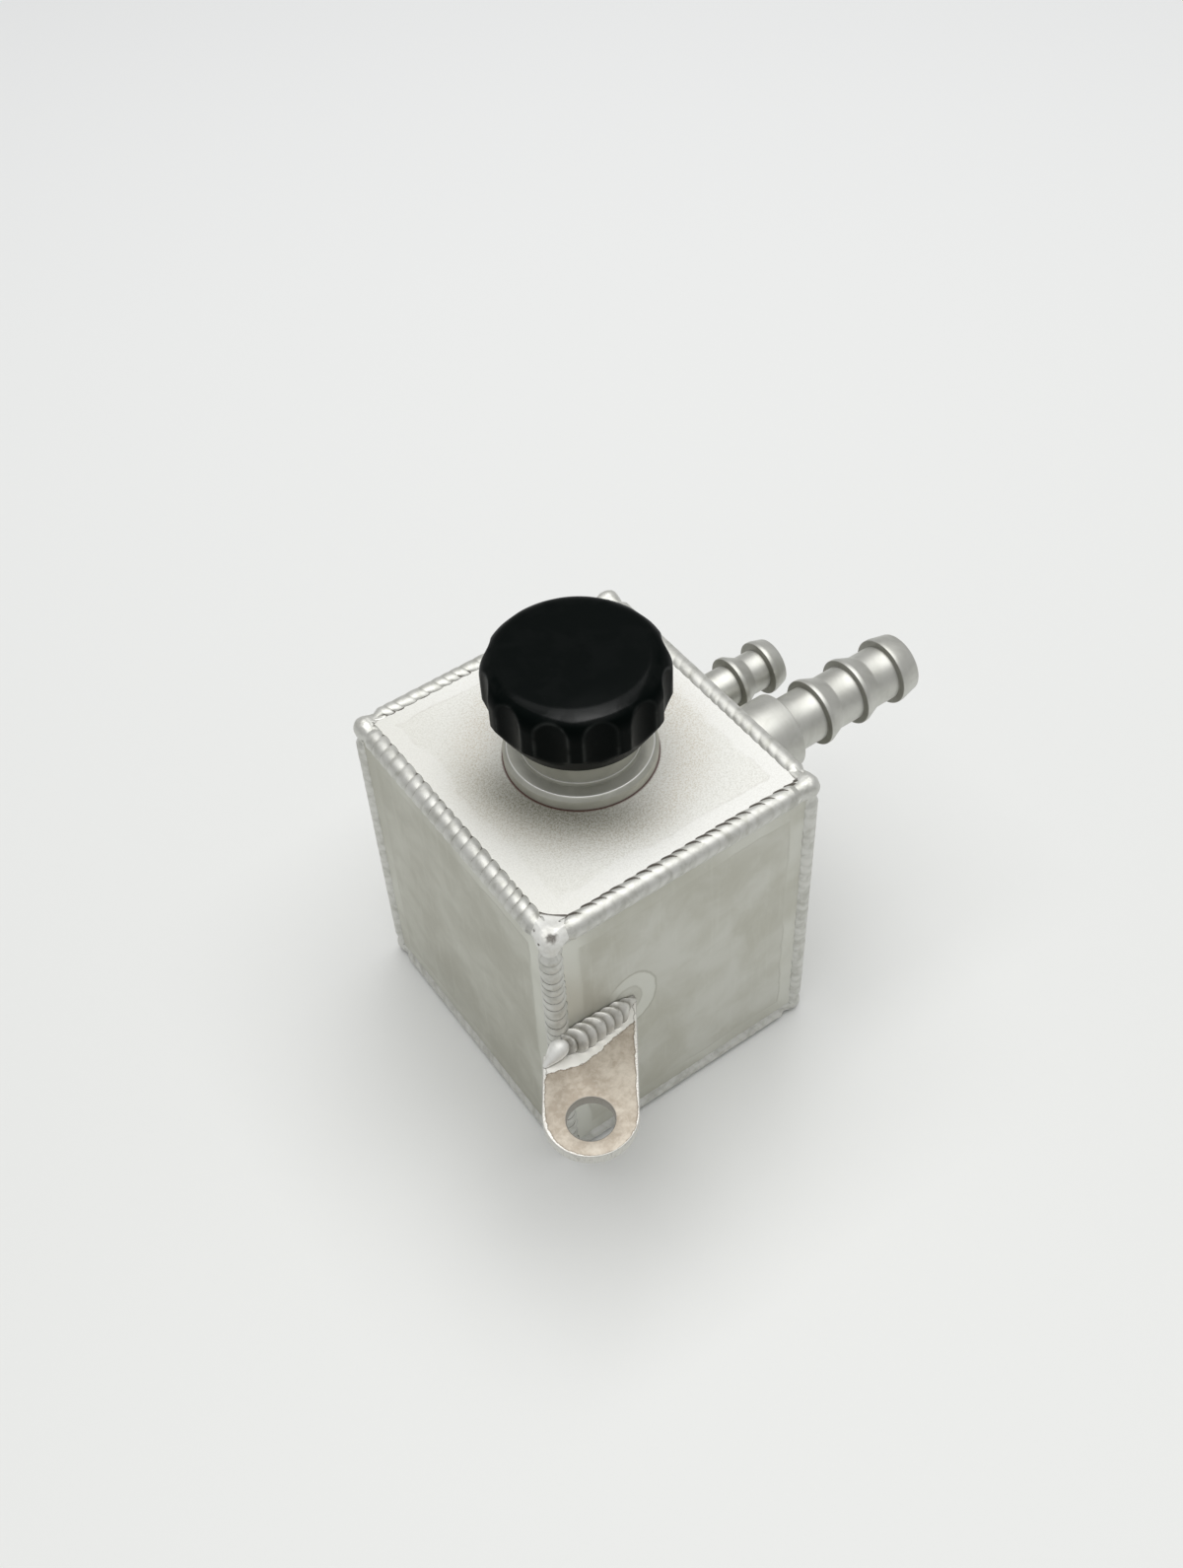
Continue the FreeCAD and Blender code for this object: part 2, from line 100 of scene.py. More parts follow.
def outermost(low: float, high: float, inside: Callable[[float], bool]) -> float:
    """Finds by halving how far a form reaches in one direction.

    Args:
        low: Distance that lies inside the form.
        high: Distance that it can't reach.
        inside: Whether a distance lies inside the form.

    Returns:
        The greatest distance found inside.
    """
    for _ in range(HALVINGS):
        middle = (low + high) / 2
        if inside(middle):
            low = middle
        else:
            high = middle
    return low


def mirrored(spot: Vector, signs: Corner) -> Vector:
    """The point with each of its parts multiplied by that corner's sign."""
    return Vector(tuple(part * sign for part, sign in zip(spot, signs)))


def push(spot: Vector, across: float, wanted: float) -> None:
    """Moves a point from its distance from the Z axis, across, to the wanted one."""
    spot.x *= wanted / across
    spot.y *= wanted / across


def sum_node(operation: str, swapped: bool = False) -> Callable[["Reading", Any], "Reading"]:
    """Makes a method of Reading that adds a Math node.

    Args:
        operation: Name of the node's operation.
        swapped: Whether the other value comes first.

    Returns:
        The method, which takes a number or a reading.
    """
    def method(self: "Reading", other: Any = 0.0) -> "Reading":
        """Result of the operation on this reading and the other value."""
        pair = {0: other, 1: self} if swapped else {0: self, 1: other}
        return self.board.read("ShaderNodeMath", {"operation": operation}, pair)

    return method


class Reading:
    """A shader socket that carries a value, so that sums on it read as plain arithmetic."""

    def __init__(self, board: "Board", socket: bpy.types.NodeSocket) -> None:
        """Holds the socket and the board that new nodes go on."""
        self.board = board
        self.socket = socket

    __add__, __radd__ = sum_node("ADD"), sum_node("ADD", swapped=True)
    __sub__, __rsub__ = sum_node("SUBTRACT"), sum_node("SUBTRACT", swapped=True)
    __mul__, __rmul__ = sum_node("MULTIPLY"), sum_node("MULTIPLY", swapped=True)
    __pow__ = sum_node("POWER")
    least, most, size = sum_node("MINIMUM"), sum_node("MAXIMUM"), sum_node("ABSOLUTE")


class Board:
    """Node tree of one material, with a call for each kind of work done on it."""

    def __init__(self, name: str) -> None:
        """Makes an empty material of that name."""
        self.material = bpy.data.materials.new(name)
        self.material.use_nodes = True
        self.tree = self.material.node_tree
        self.tree.nodes.clear()

    def node(self, kind: str, settings: Optional[dict] = None,
             sockets: Optional[dict] = None) -> bpy.types.Node:
        """Adds a node.

        Args:
            kind: Blender's type name of the node.
            settings: Values of the node's own properties, set before its sockets.
            sockets: Numbers, colours or readings for its inputs, by name or number.

        Returns:
            The node.
        """
        made = self.tree.nodes.new(kind)
        for name, value in (settings or {}).items():
            setattr(made, name, value)
        for key, value in (sockets or {}).items():
            if isinstance(value, Reading):
                self.tree.links.new(value.socket, made.inputs[key])
            else:
                made.inputs[key].default_value = value
        return made

    def read(self, kind: str, settings: Optional[dict] = None, sockets: Optional[dict] = None,
             output: Union[int, str] = 0) -> Reading:
        """Adds a node and returns one of its outputs as a reading."""
        return Reading(self, self.node(kind, settings, sockets).outputs[output])

    def place(self) -> tuple[Reading, Reading, Reading, Reading]:
        """Where a point is on the piece.

        Returns:
            The point, and its X, Y and Z, all in metres in the model's frame.
        """
        point = self.read("ShaderNodeTexCoord", output="Object")
        parts = self.node("ShaderNodeSeparateXYZ", None, {0: point})
        return (point, *(Reading(self, output) for output in parts.outputs))

    def cloud(self, point: Reading, size: float, detail: float = 3.0, roughness: float = 0.55,
              warp: float = 0.0) -> Reading:
        """Soft noise whose patches are about that size.

        Args:
            point: Where it is read.
            size: Size of a patch in metres.
            detail: Number of finer layers.
            roughness: Weight of the finer layers.
            warp: How far the patches are pulled about.

        Returns:
            Noise, near 0.5 on average.
        """
        sockets = {"Vector": point, "Scale": 1 / size, "Detail": detail,
                   "Roughness": roughness, "Distortion": warp}
        return self.read("ShaderNodeTexNoise", None, sockets)

    def stretch(self, point: Reading, scale: tuple[float, float, float]) -> Reading:
        """The point with each of its parts multiplied, so that a pattern on it is drawn out."""
        return self.read("ShaderNodeMapping", None, {"Vector": point, "Scale": scale})

    def step(self, value: Any, low: float, high: float) -> Reading:
        """Smooth rise from 0 where value is low to 1 where it is high."""
        settings = {"interpolation_type": "SMOOTHSTEP"}
        return self.read("ShaderNodeMapRange", settings, {0: value, 1: low, 2: high})

    def ridge(self, value: Reading, middle: float, width: float) -> Reading:
        """A soft line, 1 where value is middle and 0 from width away."""
        return 1 - self.step((value - middle).size(), 0.0, width)

    def blend(self, share: Any, first: Any, second: Any) -> Reading:
        """Mixes two colours, with that share of the second."""
        sockets = {0: share, 6: first, 7: second}
        return self.read("ShaderNodeMix", {"data_type": "RGBA"}, sockets, output=2)

    def fleck(self, first: Any, second: Any, value: Reading, low: float, high: float,
              share: float) -> Reading:
        """Lays a second colour over the first where value rises from low to high.

        Args:
            first: Colour where value is low.
            second: Colour that is laid over it.
            value: Noise or distance that spreads the second colour.
            low: Where the second colour starts.
            high: Where it is at its full share.
            share: Its full share.

        Returns:
            The mixed colour.
        """
        return self.blend(self.step(value, low, high) * share, first, second)

    def mark(self, name: str) -> Reading:
        """An amount that the piece's mesh holds at each of its points."""
        return self.read("ShaderNodeAttribute", {"attribute_name": name}, output="Fac")

    def bump(self, height: Reading, distance: float, strength: float = 1.0,
             under: Optional[Reading] = None) -> Reading:
        """Tilts the surface as if it were raised by height times distance.

        Args:
            height: Height, usually 0 to 1.
            distance: Metres that a height of 1 stands for.
            strength: Share of the tilt that is used.
            under: Another bump that this one lies on.

        Returns:
            The tilted normal.
        """
        sockets = {"Height": height, "Distance": distance, "Strength": strength}
        if under is not None:
            sockets["Normal"] = under
        return self.read("ShaderNodeBump", None, sockets)

    def surface(self, colour: Reading, rough: Reading, more: dict) -> bpy.types.Material:
        """Ends the tree with one Principled surface.

        Args:
            colour: Base colour.
            rough: Roughness.
            more: Values or readings of the shader's other sockets, by name.

        Returns:
            The finished material.
        """
        sockets = {"Base Color": colour, "Roughness": rough, **more}
        shader = self.read("ShaderNodeBsdfPrincipled", None, sockets)
        self.node("ShaderNodeOutputMaterial", None, {"Surface": shader})
        return self.material


class Facing(Enum):
    """Which pair of tank sides a sheet belongs to."""

    UP = "up"
    ALONG_Y = "along_y"
    ALONG_X = "along_x"


@dataclass(frozen=True)
class TankSizes:
    """Outer sizes of the welded box and of the beads along its edges."""

    width: float = 63.5 * MM
    depth: float = 68.5 * MM
    height: float = 76.0 * MM
    seam_inset: float = 1.6 * MM
    seam_radius: float = 2.408 * MM
    floor_drop: float = 0.81 * MM


TANK = TankSizes()
TAB_HOLE = (-35.4 * MM, -50.9 * MM)


def edge_distance(facing: Facing, x: Reading, y: Reading, z: Reading) -> Reading:
    """Distance from a point of a sheet to the nearest of the sheet's four edges.

    Args:
        facing: Which sides of the tank the sheet belongs to.
        x: The point's X.
        y: The point's Y.
        z: The point's Z.

    Returns:
        Distance in metres.
    """
    beside = TANK.width / 2 - x.size()
    behind = TANK.depth / 2 - y.size()
    above = TANK.height / 2 - (z - TANK.height / 2).size()
    pair = {
        Facing.UP: (beside, behind),
        Facing.ALONG_Y: (beside, above),
        Facing.ALONG_X: (behind, above),
    }[facing]
    return pair[0].least(pair[1])


@dataclass(frozen=True)
class SheetFinish:
    """Dull, cloudy aluminium sheet with a paler cleaned band beside the weld beads."""

    facing: Facing
    base: Colour = tone(209, 209, 201)
    dark: Colour = tone(190, 189, 177)
    band: Colour = tone(221, 222, 214)
    line: Colour = tone(160, 158, 144)
    band_edge: float = 6.9 * MM
    tab_halo: bool = False
    halo_middle: tuple[float, float] = (-14.0 * MM, 42.5 * MM)
    halo_radii: tuple[float, float] = (6.3 * MM, 8.2 * MM)

    def material(self) -> bpy.types.Material:
        """Builds the sheet's material and returns it."""
        board = Board(f"sheet_{self.facing.value}{'_halo' if self.tab_halo else ''}")
        point, x, y, z = board.place()
        big = board.cloud(point, 26 * MM, 2.0, 0.5, 0.4)
        middle = board.cloud(point, 7 * MM, 4.0, 0.6, 0.6)
        fine = board.cloud(point, 0.35 * MM, 2.0, 0.7)
        streak = board.cloud(board.stretch(point, (1.0, 1.0, 0.12)), 1.6 * MM, 3.0, 0.6)
        shade = board.step(big * 0.62 + middle * 0.38, 0.36, 0.66)
        colour = board.blend(shade, self.dark, self.base)
        colour = board.fleck(colour, self.band, streak, 0.52, 0.78, 0.18)
        colour = board.fleck(colour, self.dark, fine, 0.62, 0.8, 0.16)
        away = edge_distance(self.facing, x, y, z)
        ragged = away + (big - 0.5) * (2.6 * MM) + (middle - 0.5) * (1.7 * MM)
        ragged = ragged + (fine - 0.5) * (0.25 * MM)
        beside = flat_distance(x + TANK.width / 2, y + TANK.depth / 2)
        near = 1 - board.step(beside, 5 * MM, 10 * MM)
        inside = board.step(ragged, self.band_edge - 0.6 * MM, self.band_edge + 0.5 * MM)
        band = (1 - inside) * (0.1 + 0.5 * near + 0.22 * board.step(big, 0.4, 0.6))
        colour = board.blend(band, colour, self.band)
        outline = board.ridge(ragged, self.band_edge, 0.4 * MM)
        outline = outline * (0.06 + 0.3 * board.step(big, 0.45, 0.65))
        colour = board.blend(outline, colour, self.line)
        rough = 0.44 + middle * 0.12 - band * 0.09
        if self.tab_halo:
            colour, band = self.etch(board, colour, band, x, z, middle)
        level = (big * 0.9 + middle * 0.35) + fine * 0.02
        normal = board.bump(level, 0.16 * MM, 0.5)
        normal = board.bump(fine + streak * 0.6, 0.012 * MM, 0.55, normal)
        return board.surface(colour, rough, {"Metallic": 0.75, "Normal": normal})

    def etch(self, board: Board, colour: Reading, band: Reading, x: Reading, z: Reading,
             ragged: Reading) -> tuple[Reading, Reading]:
        """Adds the pale etched patch round the tab's bead.

        Args:
            board: Board that the nodes go on.
            colour: Colour so far.
            band: Amount of cleaned band so far.
            x: The point's X.
            z: The point's Z.
            ragged: Noise that frays the patch's outline.

        Returns:
            The new colour and the new amount of band.
        """
        along = (x - self.halo_middle[0]) * (1 / self.halo_radii[0])
        rise = (z - self.halo_middle[1]) * (1 / self.halo_radii[1])
        end = (along ** 2.0 + rise ** 2.0) ** 0.5 + (ragged - 0.5) * 0.22
        within = board.step(x, -20 * MM, -16 * MM) * board.step(z, 31 * MM, 35 * MM)
        inner = end + 0.26 * board.step(along, -0.5, 0.7)
        patch = board.step(inner, 0.6, 0.7) * (1 - board.step(end, 0.96, 1.02)) * within
        outline = board.ridge(end, 1.0, 0.07) + board.ridge(inner, 0.64, 0.08) * 0.5
        colour = board.blend(patch * 0.62, colour, self.band)
        colour = board.blend(outline * within * 0.5, colour, self.line)
        return colour, band.most(patch)


@dataclass(frozen=True)
class BlastedFinish:
    """Bright grainy top sheet with a brown heat tint and painted cap shade and reflection round the
    neck.
    """

    base: Colour = tone(235, 235, 230)
    grain: Colour = tone(208, 207, 198)
    band: Colour = tone(238, 238, 235)
    tint_and_cap_shade: Colour = tone(110, 108, 91)
    brown: Colour = tone(206, 192, 168)
    line: Colour = tone(150, 140, 124)
    seat: Colour = tone(80, 34, 26)
    tint_and_cap_shade_start: float = 15.0 * MM
    tint_and_cap_shade_end: float = 36.0 * MM
    rim_radius: float = 21.0 * MM
    seat_radius: float = 15.35 * MM
    band_edge: float = 7.0 * MM

    def material(self) -> bpy.types.Material:
        """Builds the top sheet's material and returns it."""
        board = Board("blasted_top_sheet")
        point, x, y, z = board.place()
        big = board.cloud(point, 16 * MM, 3.0, 0.6, 0.3)
        middle = board.cloud(point, 3.5 * MM, 4.0, 0.65, 0.5)
        sand = board.cloud(point, 0.42 * MM, 2.0, 0.75)
        speck = board.cloud(point, 0.22 * MM, 1.0, 0.6)
        away = edge_distance(Facing.UP, x, y, z)
        ragged = away + (big - 0.5) * (5.0 * MM) + (middle - 0.5) * (1.2 * MM)
        inside = board.step(ragged, self.band_edge - 0.5 * MM, self.band_edge + 0.6 * MM)
        grit = sand * 0.5 + speck * 0.5
        colour = board.fleck(self.base, self.grain, grit, 0.42, 0.64, 0.6)
        colour = board.blend((1 - inside) * 0.45, colour, self.band)
        colour = board.fleck(colour, self.grain, x * -1.0, 8 * MM, 30 * MM, 0.36)
        reach = flat_distance(x, y)
        near = 1 - board.step(reach, self.tint_and_cap_shade_start, self.tint_and_cap_shade_end)
        # Painted shade and a painted reflection of the black cap deepen the heat tint towards the
        # front left.
        toward = board.step(x * -0.8 - y * 0.6, 2 * MM, 17.5 * MM)
        tint_and_cap_shade = (near ** 2.5) * (0.03 + 0.78 * toward ** 1.4)
        tint_and_cap_shade = tint_and_cap_shade * (0.84 + 0.34 * board.step(grit, 0.4, 0.62))
        rim = board.ridge(reach + (middle - 0.5) * (4 * MM), self.rim_radius, 8 * MM)
        colour = board.blend(rim * (0.05 + 0.4 * board.step(grit, 0.46, 0.62)), colour, self.brown)
        colour = board.blend(tint_and_cap_shade.least(0.92), colour, self.tint_and_cap_shade)
        seat = board.ridge(reach, self.seat_radius, 0.5 * MM)
        colour = board.blend(seat * 0.9, colour, self.seat)
        edge = board.ridge(ragged, self.band_edge, 0.5 * MM) * board.step(big, 0.42, 0.62)
        colour = board.blend(edge * 0.14, colour, self.line)
        rough = 0.6 - (1 - inside) * 0.06 + sand * 0.1
        normal = board.bump(middle, 0.05 * MM, 0.5)
        normal = board.bump(grit * 1.2, 0.05 * MM, 0.7, normal)
        return board.surface(colour, rough, {"Metallic": 0.45, "Normal": normal})


@dataclass(frozen=True)
class WeldFinish:
    """Bright satin weld metal whose ripples and toes hold a brown-grey film and painted shade."""

    name: str = "weld_metal"
    base: Colour = tone(217, 217, 212)
    shade: Colour = tone(172, 172, 162)
    film_and_shade: Colour = tone(78, 70, 61)
    valley_shade_share: float = 0.35
    metal: float = 0.65
    roughness: float = 0.42

    def material(self) -> bpy.types.Material:
        """Builds the bead's material from the film, painted shade and valley shade held by the
        mesh, and returns it.
        """
        board = Board(self.name)
        point = board.place()[0]
        patch = board.cloud(point, 2.4 * MM, 3.0, 0.6, 0.4)
        fine = board.cloud(point, 0.3 * MM, 3.0, 0.7)
        film_and_shade = board.mark("film_and_shade")
        valley = board.mark("valley")
        colour = board.fleck(self.base, self.shade, patch, 0.42, 0.7, 0.5)
        # Painted shade in the valleys between ripples.
        colour = board.blend(valley * self.valley_shade_share, colour, self.shade)
        # Brown-grey film with painted shade in the ripples' grooves and along the toes.
        film_shade_and_sheen = board.step(film_and_shade * (0.75 + 0.5 * fine), 0.16, 0.8)
        colour = board.blend(film_shade_and_sheen * 0.9, colour, self.film_and_shade)
        rough = self.roughness + patch * 0.1 + film_shade_and_sheen * 0.3
        normal = board.bump(patch, 0.05 * MM, 0.5)
        normal = board.bump(fine, 0.022 * MM, 0.6, normal)
        return board.surface(colour, rough, {"Metallic": self.metal, "Normal": normal})


class Spin(Enum):
    """Axis that a turned piece was turned about."""

    UPRIGHT = "upright"
    SIDEWAYS = "sideways"


@dataclass(frozen=True)
class TurnedFinish:
    """Satin turned aluminium with fine tool lines round its axis.

    A painted highlight along an edge is given by its place along the axis less its distance from
    it, and painted shade in a crease by its place along the axis.
    """

    name: str
    spin: Spin
    base: Colour = tone(208, 208, 202)
    shade: Colour = tone(184, 184, 176)
    bright: Colour = tone(250, 250, 247)
    crease_shade: Colour = tone(96, 94, 84)
    centre: tuple[float, float] = (0.0, 0.0)
    roughness: float = 0.4
    metal: float = 0.6
    highlight_edges: tuple[float, ...] = ()
    creases: tuple[float, ...] = ()
    pitch: float = 0.16 * MM

    def material(self) -> bpy.types.Material:
        """Builds the turned metal's material and returns it."""
        board = Board(self.name)
        point, x, y, z = board.place()
        if self.spin is Spin.UPRIGHT:
            across, along = flat_distance(x, y), z
        else:
            across, along = flat_distance(y - self.centre[0], z - self.centre[1]), x
        lines = board.read("ShaderNodeCombineXYZ", None, {0: across, 1: along})
        feed = board.cloud(lines, self.pitch, 2.0, 0.7)
        broad = board.cloud(lines, 1.3 * MM, 2.0, 0.5)
        patch = board.cloud(point, 5 * MM, 3.0, 0.6, 0.5)
        fine = board.cloud(point, 0.3 * MM, 2.0, 0.6)
        colour = board.fleck(self.base, self.shade, patch, 0.35, 0.72, 0.6)
        colour = board.fleck(colour, self.shade, feed, 0.5, 0.75, 0.25)
        # Painted highlights along turned edges.
        for edge in self.highlight_edges:
            shine = board.ridge(along - across, edge, 0.3 * MM)
            colour = board.blend(shine * 0.9, colour, self.bright)
        # Painted shade in the creases at the feet of steps.
        for crease in self.creases:
            crease_shade_share = board.ridge(along, crease, 0.32 * MM)
            colour = board.blend(crease_shade_share * 0.7, colour, self.crease_shade)
        rough = self.roughness + broad * 0.08 + fine * 0.06
        normal = board.bump(feed, 0.01 * MM, 0.6)
        normal = board.bump(fine + patch * 2.0, 0.012 * MM, 0.5, normal)
        return board.surface(colour, rough, {"Metallic": self.metal, "Normal": normal})


@dataclass(frozen=True)
class MillFinish:
    """Brown mottled mill finish of the tab, scraped bright beside its bead."""

    base: Colour = tone(196, 187, 173)
    dark: Colour = tone(171, 160, 145)
    pale: Colour = tone(209, 202, 189)
    scraped: Colour = tone(246, 245, 240)
    line: Colour = tone(96, 86, 76)
    bead_toe: float = -38.55 * MM
    scrape: float = 1.1 * MM
    half_width: float = 9.2 * MM
    setback: float = 1.2 * MM
    lean: float = 35.0

    def material(self) -> bpy.types.Material:
        """Builds the material of the tab's flat faces and returns it."""
        board = Board("mill_tab")
        point, x, y, _ = board.place()
        big = board.cloud(point, 7 * MM, 3.0, 0.6, 0.5)
        middle = board.cloud(point, 1.5 * MM, 4.0, 0.7, 0.4)
        fine = board.cloud(board.stretch(point, (0.35, 1.0, 1.0)), 0.28 * MM, 2.0, 0.7)
        colour = board.blend(board.step(middle * 0.6 + big * 0.4, 0.38, 0.62), self.dark, self.base)
        colour = board.fleck(colour, self.pale, big, 0.5, 0.75, 0.55)
        colour = board.fleck(colour, self.dark, fine, 0.5, 0.75, 0.35)
        slope = (x + 31 * MM).most(0.0) * 0.085 + (-31 * MM - x).most(0.0) * 0.3
        ragged = (middle - 0.5) * (1.4 * MM) + (fine - 0.5) * (0.3 * MM)
        bulge = board.ridge(x, -27 * MM, 8 * MM) * (0.7 * MM)
        toe = self.bead_toe + slope - y + ragged - bulge
        clean = 1 - board.step(toe, self.scrape, self.scrape + 0.18 * MM)
        colour = board.blend(clean * 0.95, colour, self.scraped)
        edge = board.ridge(toe, self.scrape + 0.18 * MM, 0.22 * MM)
        colour = board.blend(edge * 0.55, colour, self.line)
        rim = self.rim_distance(x, y) + ragged * 0.7 + (big - 0.5) * (1.2 * MM)
        rim = rim + (1 - board.step(y, -57 * MM, -49 * MM)) * (0.3 * MM)
        burr = 1 - board.step(rim, 0.5 * MM, 0.6 * MM)
        burr = burr * (0.45 + 0.5 * board.step(fine, 0.4, 0.55))
        colour = board.blend(burr, colour, self.scraped)
        shadow = board.ridge(rim, 0.66 * MM, 0.2 * MM)
        colour = board.blend(shadow * 0.5, colour, self.line)
        rough = 0.5 + middle * 0.14 - clean * 0.14
        normal = board.bump(middle + big, 0.03 * MM, 0.5)
        normal = board.bump(fine, 0.02 * MM, 0.6, normal)
        return board.surface(colour, rough, {"Metallic": 0.6, "Normal": normal})

    def rim_distance(self, x: Reading, y: Reading) -> Reading:
        """Distance from a point of the tab to its outline.

        Args:
            x: The point's X.
            y: The point's Y.

        Returns:
            Distance in metres.
        """
        lean = math.radians(self.lean)
        off_x, off_y = x - TAB_HOLE[0], y - TAB_HOLE[1]
        along = off_x * math.sin(lean) + off_y * math.cos(lean)
        beside = off_x * math.cos(lean) - off_y * math.sin(lean)
        past = (along - self.setback).least(0.0)
        return self.half_width - flat_distance(beside, past)


@dataclass(frozen=True)
class CutEdgeFinish:
    """Bright burred edge left by the saw and the file."""

    base: Colour = tone(216, 215, 209)
    dark: Colour = tone(132, 126, 116)

    def material(self) -> bpy.types.Material:
        """Builds the edge's material and returns it."""
        board = Board("cut_edge")
        point, x, y, _ = board.place()
        from_hole = flat_distance(x - TAB_HOLE[0], y - TAB_HOLE[1])
        drilled = 1 - board.step(from_hole, 6 * MM, 7 * MM)
        nick = board.cloud(point, 0.7 * MM, 4.0, 0.7, 0.5)
        saw = board.cloud(board.stretch(point, (1.0, 1.0, 0.2)), 0.35 * MM, 2.0, 0.7)
        colour = board.fleck(self.base, self.dark, nick, 0.58, 0.74, 0.6)
        colour = board.fleck(colour, self.dark, saw, 0.5, 0.7, 0.25)
        colour = board.blend(drilled * 0.75, colour, self.dark)
        normal = board.bump(nick + saw * 0.6, 0.06 * MM, 0.7)
        return board.surface(colour, 0.4 + nick * 0.2, {"Metallic": 0.7, "Normal": normal})


@dataclass(frozen=True)
class CapFinish:
    """Near-black satin plastic of the cap, with faint turning marks on its top and painted
    highlights on the flute edges.
    """

    base: Colour = tone(3, 7, 6)
    pale: Colour = tone(7, 11, 10)
    film_shade_and_sheen: Colour = tone(50, 53, 51)
    roughness: float = 0.3

    def material(self) -> bpy.types.Material:
        """Builds the cap's material and returns it."""
        board = Board("black_cap")
        point, x, y, z = board.place()
        reach = board.read("ShaderNodeCombineXYZ", None, {0: flat_distance(x, y)})
        rings = board.cloud(reach, 0.45 * MM, 2.0, 0.7)
        grain = board.cloud(point, 0.16 * MM, 2.0, 0.6)
        patch = board.cloud(point, 6 * MM, 3.0, 0.6, 0.4)
        top = board.step(z, 102.3 * MM, 102.6 * MM)
        colour = board.fleck(self.base, self.pale, patch, 0.4, 0.7, 0.6)
        # Painted highlight along the flute edges, in patches.
        edge = board.mark("edge") * board.step(z, 88 * MM, 90 * MM)
        edge = edge * (0.25 + 0.75 * board.step(patch, 0.4, 0.62))
        colour = board.blend(edge * 0.5, colour, self.film_shade_and_sheen)
        shoulder = board.ridge(z, 102.0 * MM, 1.0 * MM)
        glint = board.ridge(x, -6.5 * MM, 8 * MM) * board.step(y, -8 * MM, -11 * MM)
        sheen = shoulder * (0.06 + 0.12 * board.step(patch, 0.45, 0.6) + 0.45 * glint)
        coat = (0.02 + 0.07 * top + sheen + 0.2 * edge).least(1.0)
        rough = self.roughness + patch * 0.07 + top * 0.14 + grain * 0.05
        normal = board.bump(rings * top, 0.006 * MM, 0.5)
        normal = board.bump(grain, 0.006 * MM, 0.5, normal)
        return board.surface(colour, rough, {
            "Normal": normal, "Coat Weight": coat, "Coat Roughness": 0.16,
            "Specular IOR Level": 0.02,
        })


@dataclass(frozen=True)
class RubberFinish:
    """Dull black rubber of the seal."""

    base: Colour = tone(30, 30, 31)
    dust: Colour = tone(74, 73, 70)

    def material(self) -> bpy.types.Material:
        """Builds the seal's material and returns it."""
        board = Board("black_rubber")
        point = board.place()[0]
        fine = board.cloud(point, 0.25 * MM, 4.0, 0.7)
        patch = board.cloud(point, 2.5 * MM, 3.0, 0.6)
        colour = board.fleck(self.base, self.dust, patch, 0.5, 0.8, 0.4)
        normal = board.bump(fine, 0.02 * MM, 0.5)
        more = {"Normal": normal, "Specular IOR Level": 0.3}
        return board.surface(colour, 0.7 + fine * 0.2, more)


@dataclass(frozen=True)
class FloorFinish:
    """Plain pale table top with a faint gloss, painted lighter away from the camera."""

    base: Colour = tone(230, 231, 229)
    far: Colour = tone(240, 241, 241)
    heading: float = math.radians(33)

    def material(self) -> bpy.types.Material:
        """Builds the floor's material and returns it."""
        board = Board("pale_floor")
        point, x, y, _ = board.place()
        fine = board.cloud(point, 1.2 * MM, 3.0, 0.6)
        distance = x * math.sin(self.heading) + y * math.cos(self.heading)
        # Painted light: the floor grows lighter away from the camera to make up for the lamp's
        # falloff.
        colour = board.blend(board.step(distance, -0.1, 0.6), self.base, self.far)
        colour = board.fleck(colour, self.far, fine, 0.5, 0.9, 0.05)
        return board.surface(colour, 0.3 + fine * 0.05, {"Specular IOR Level": 0.25})


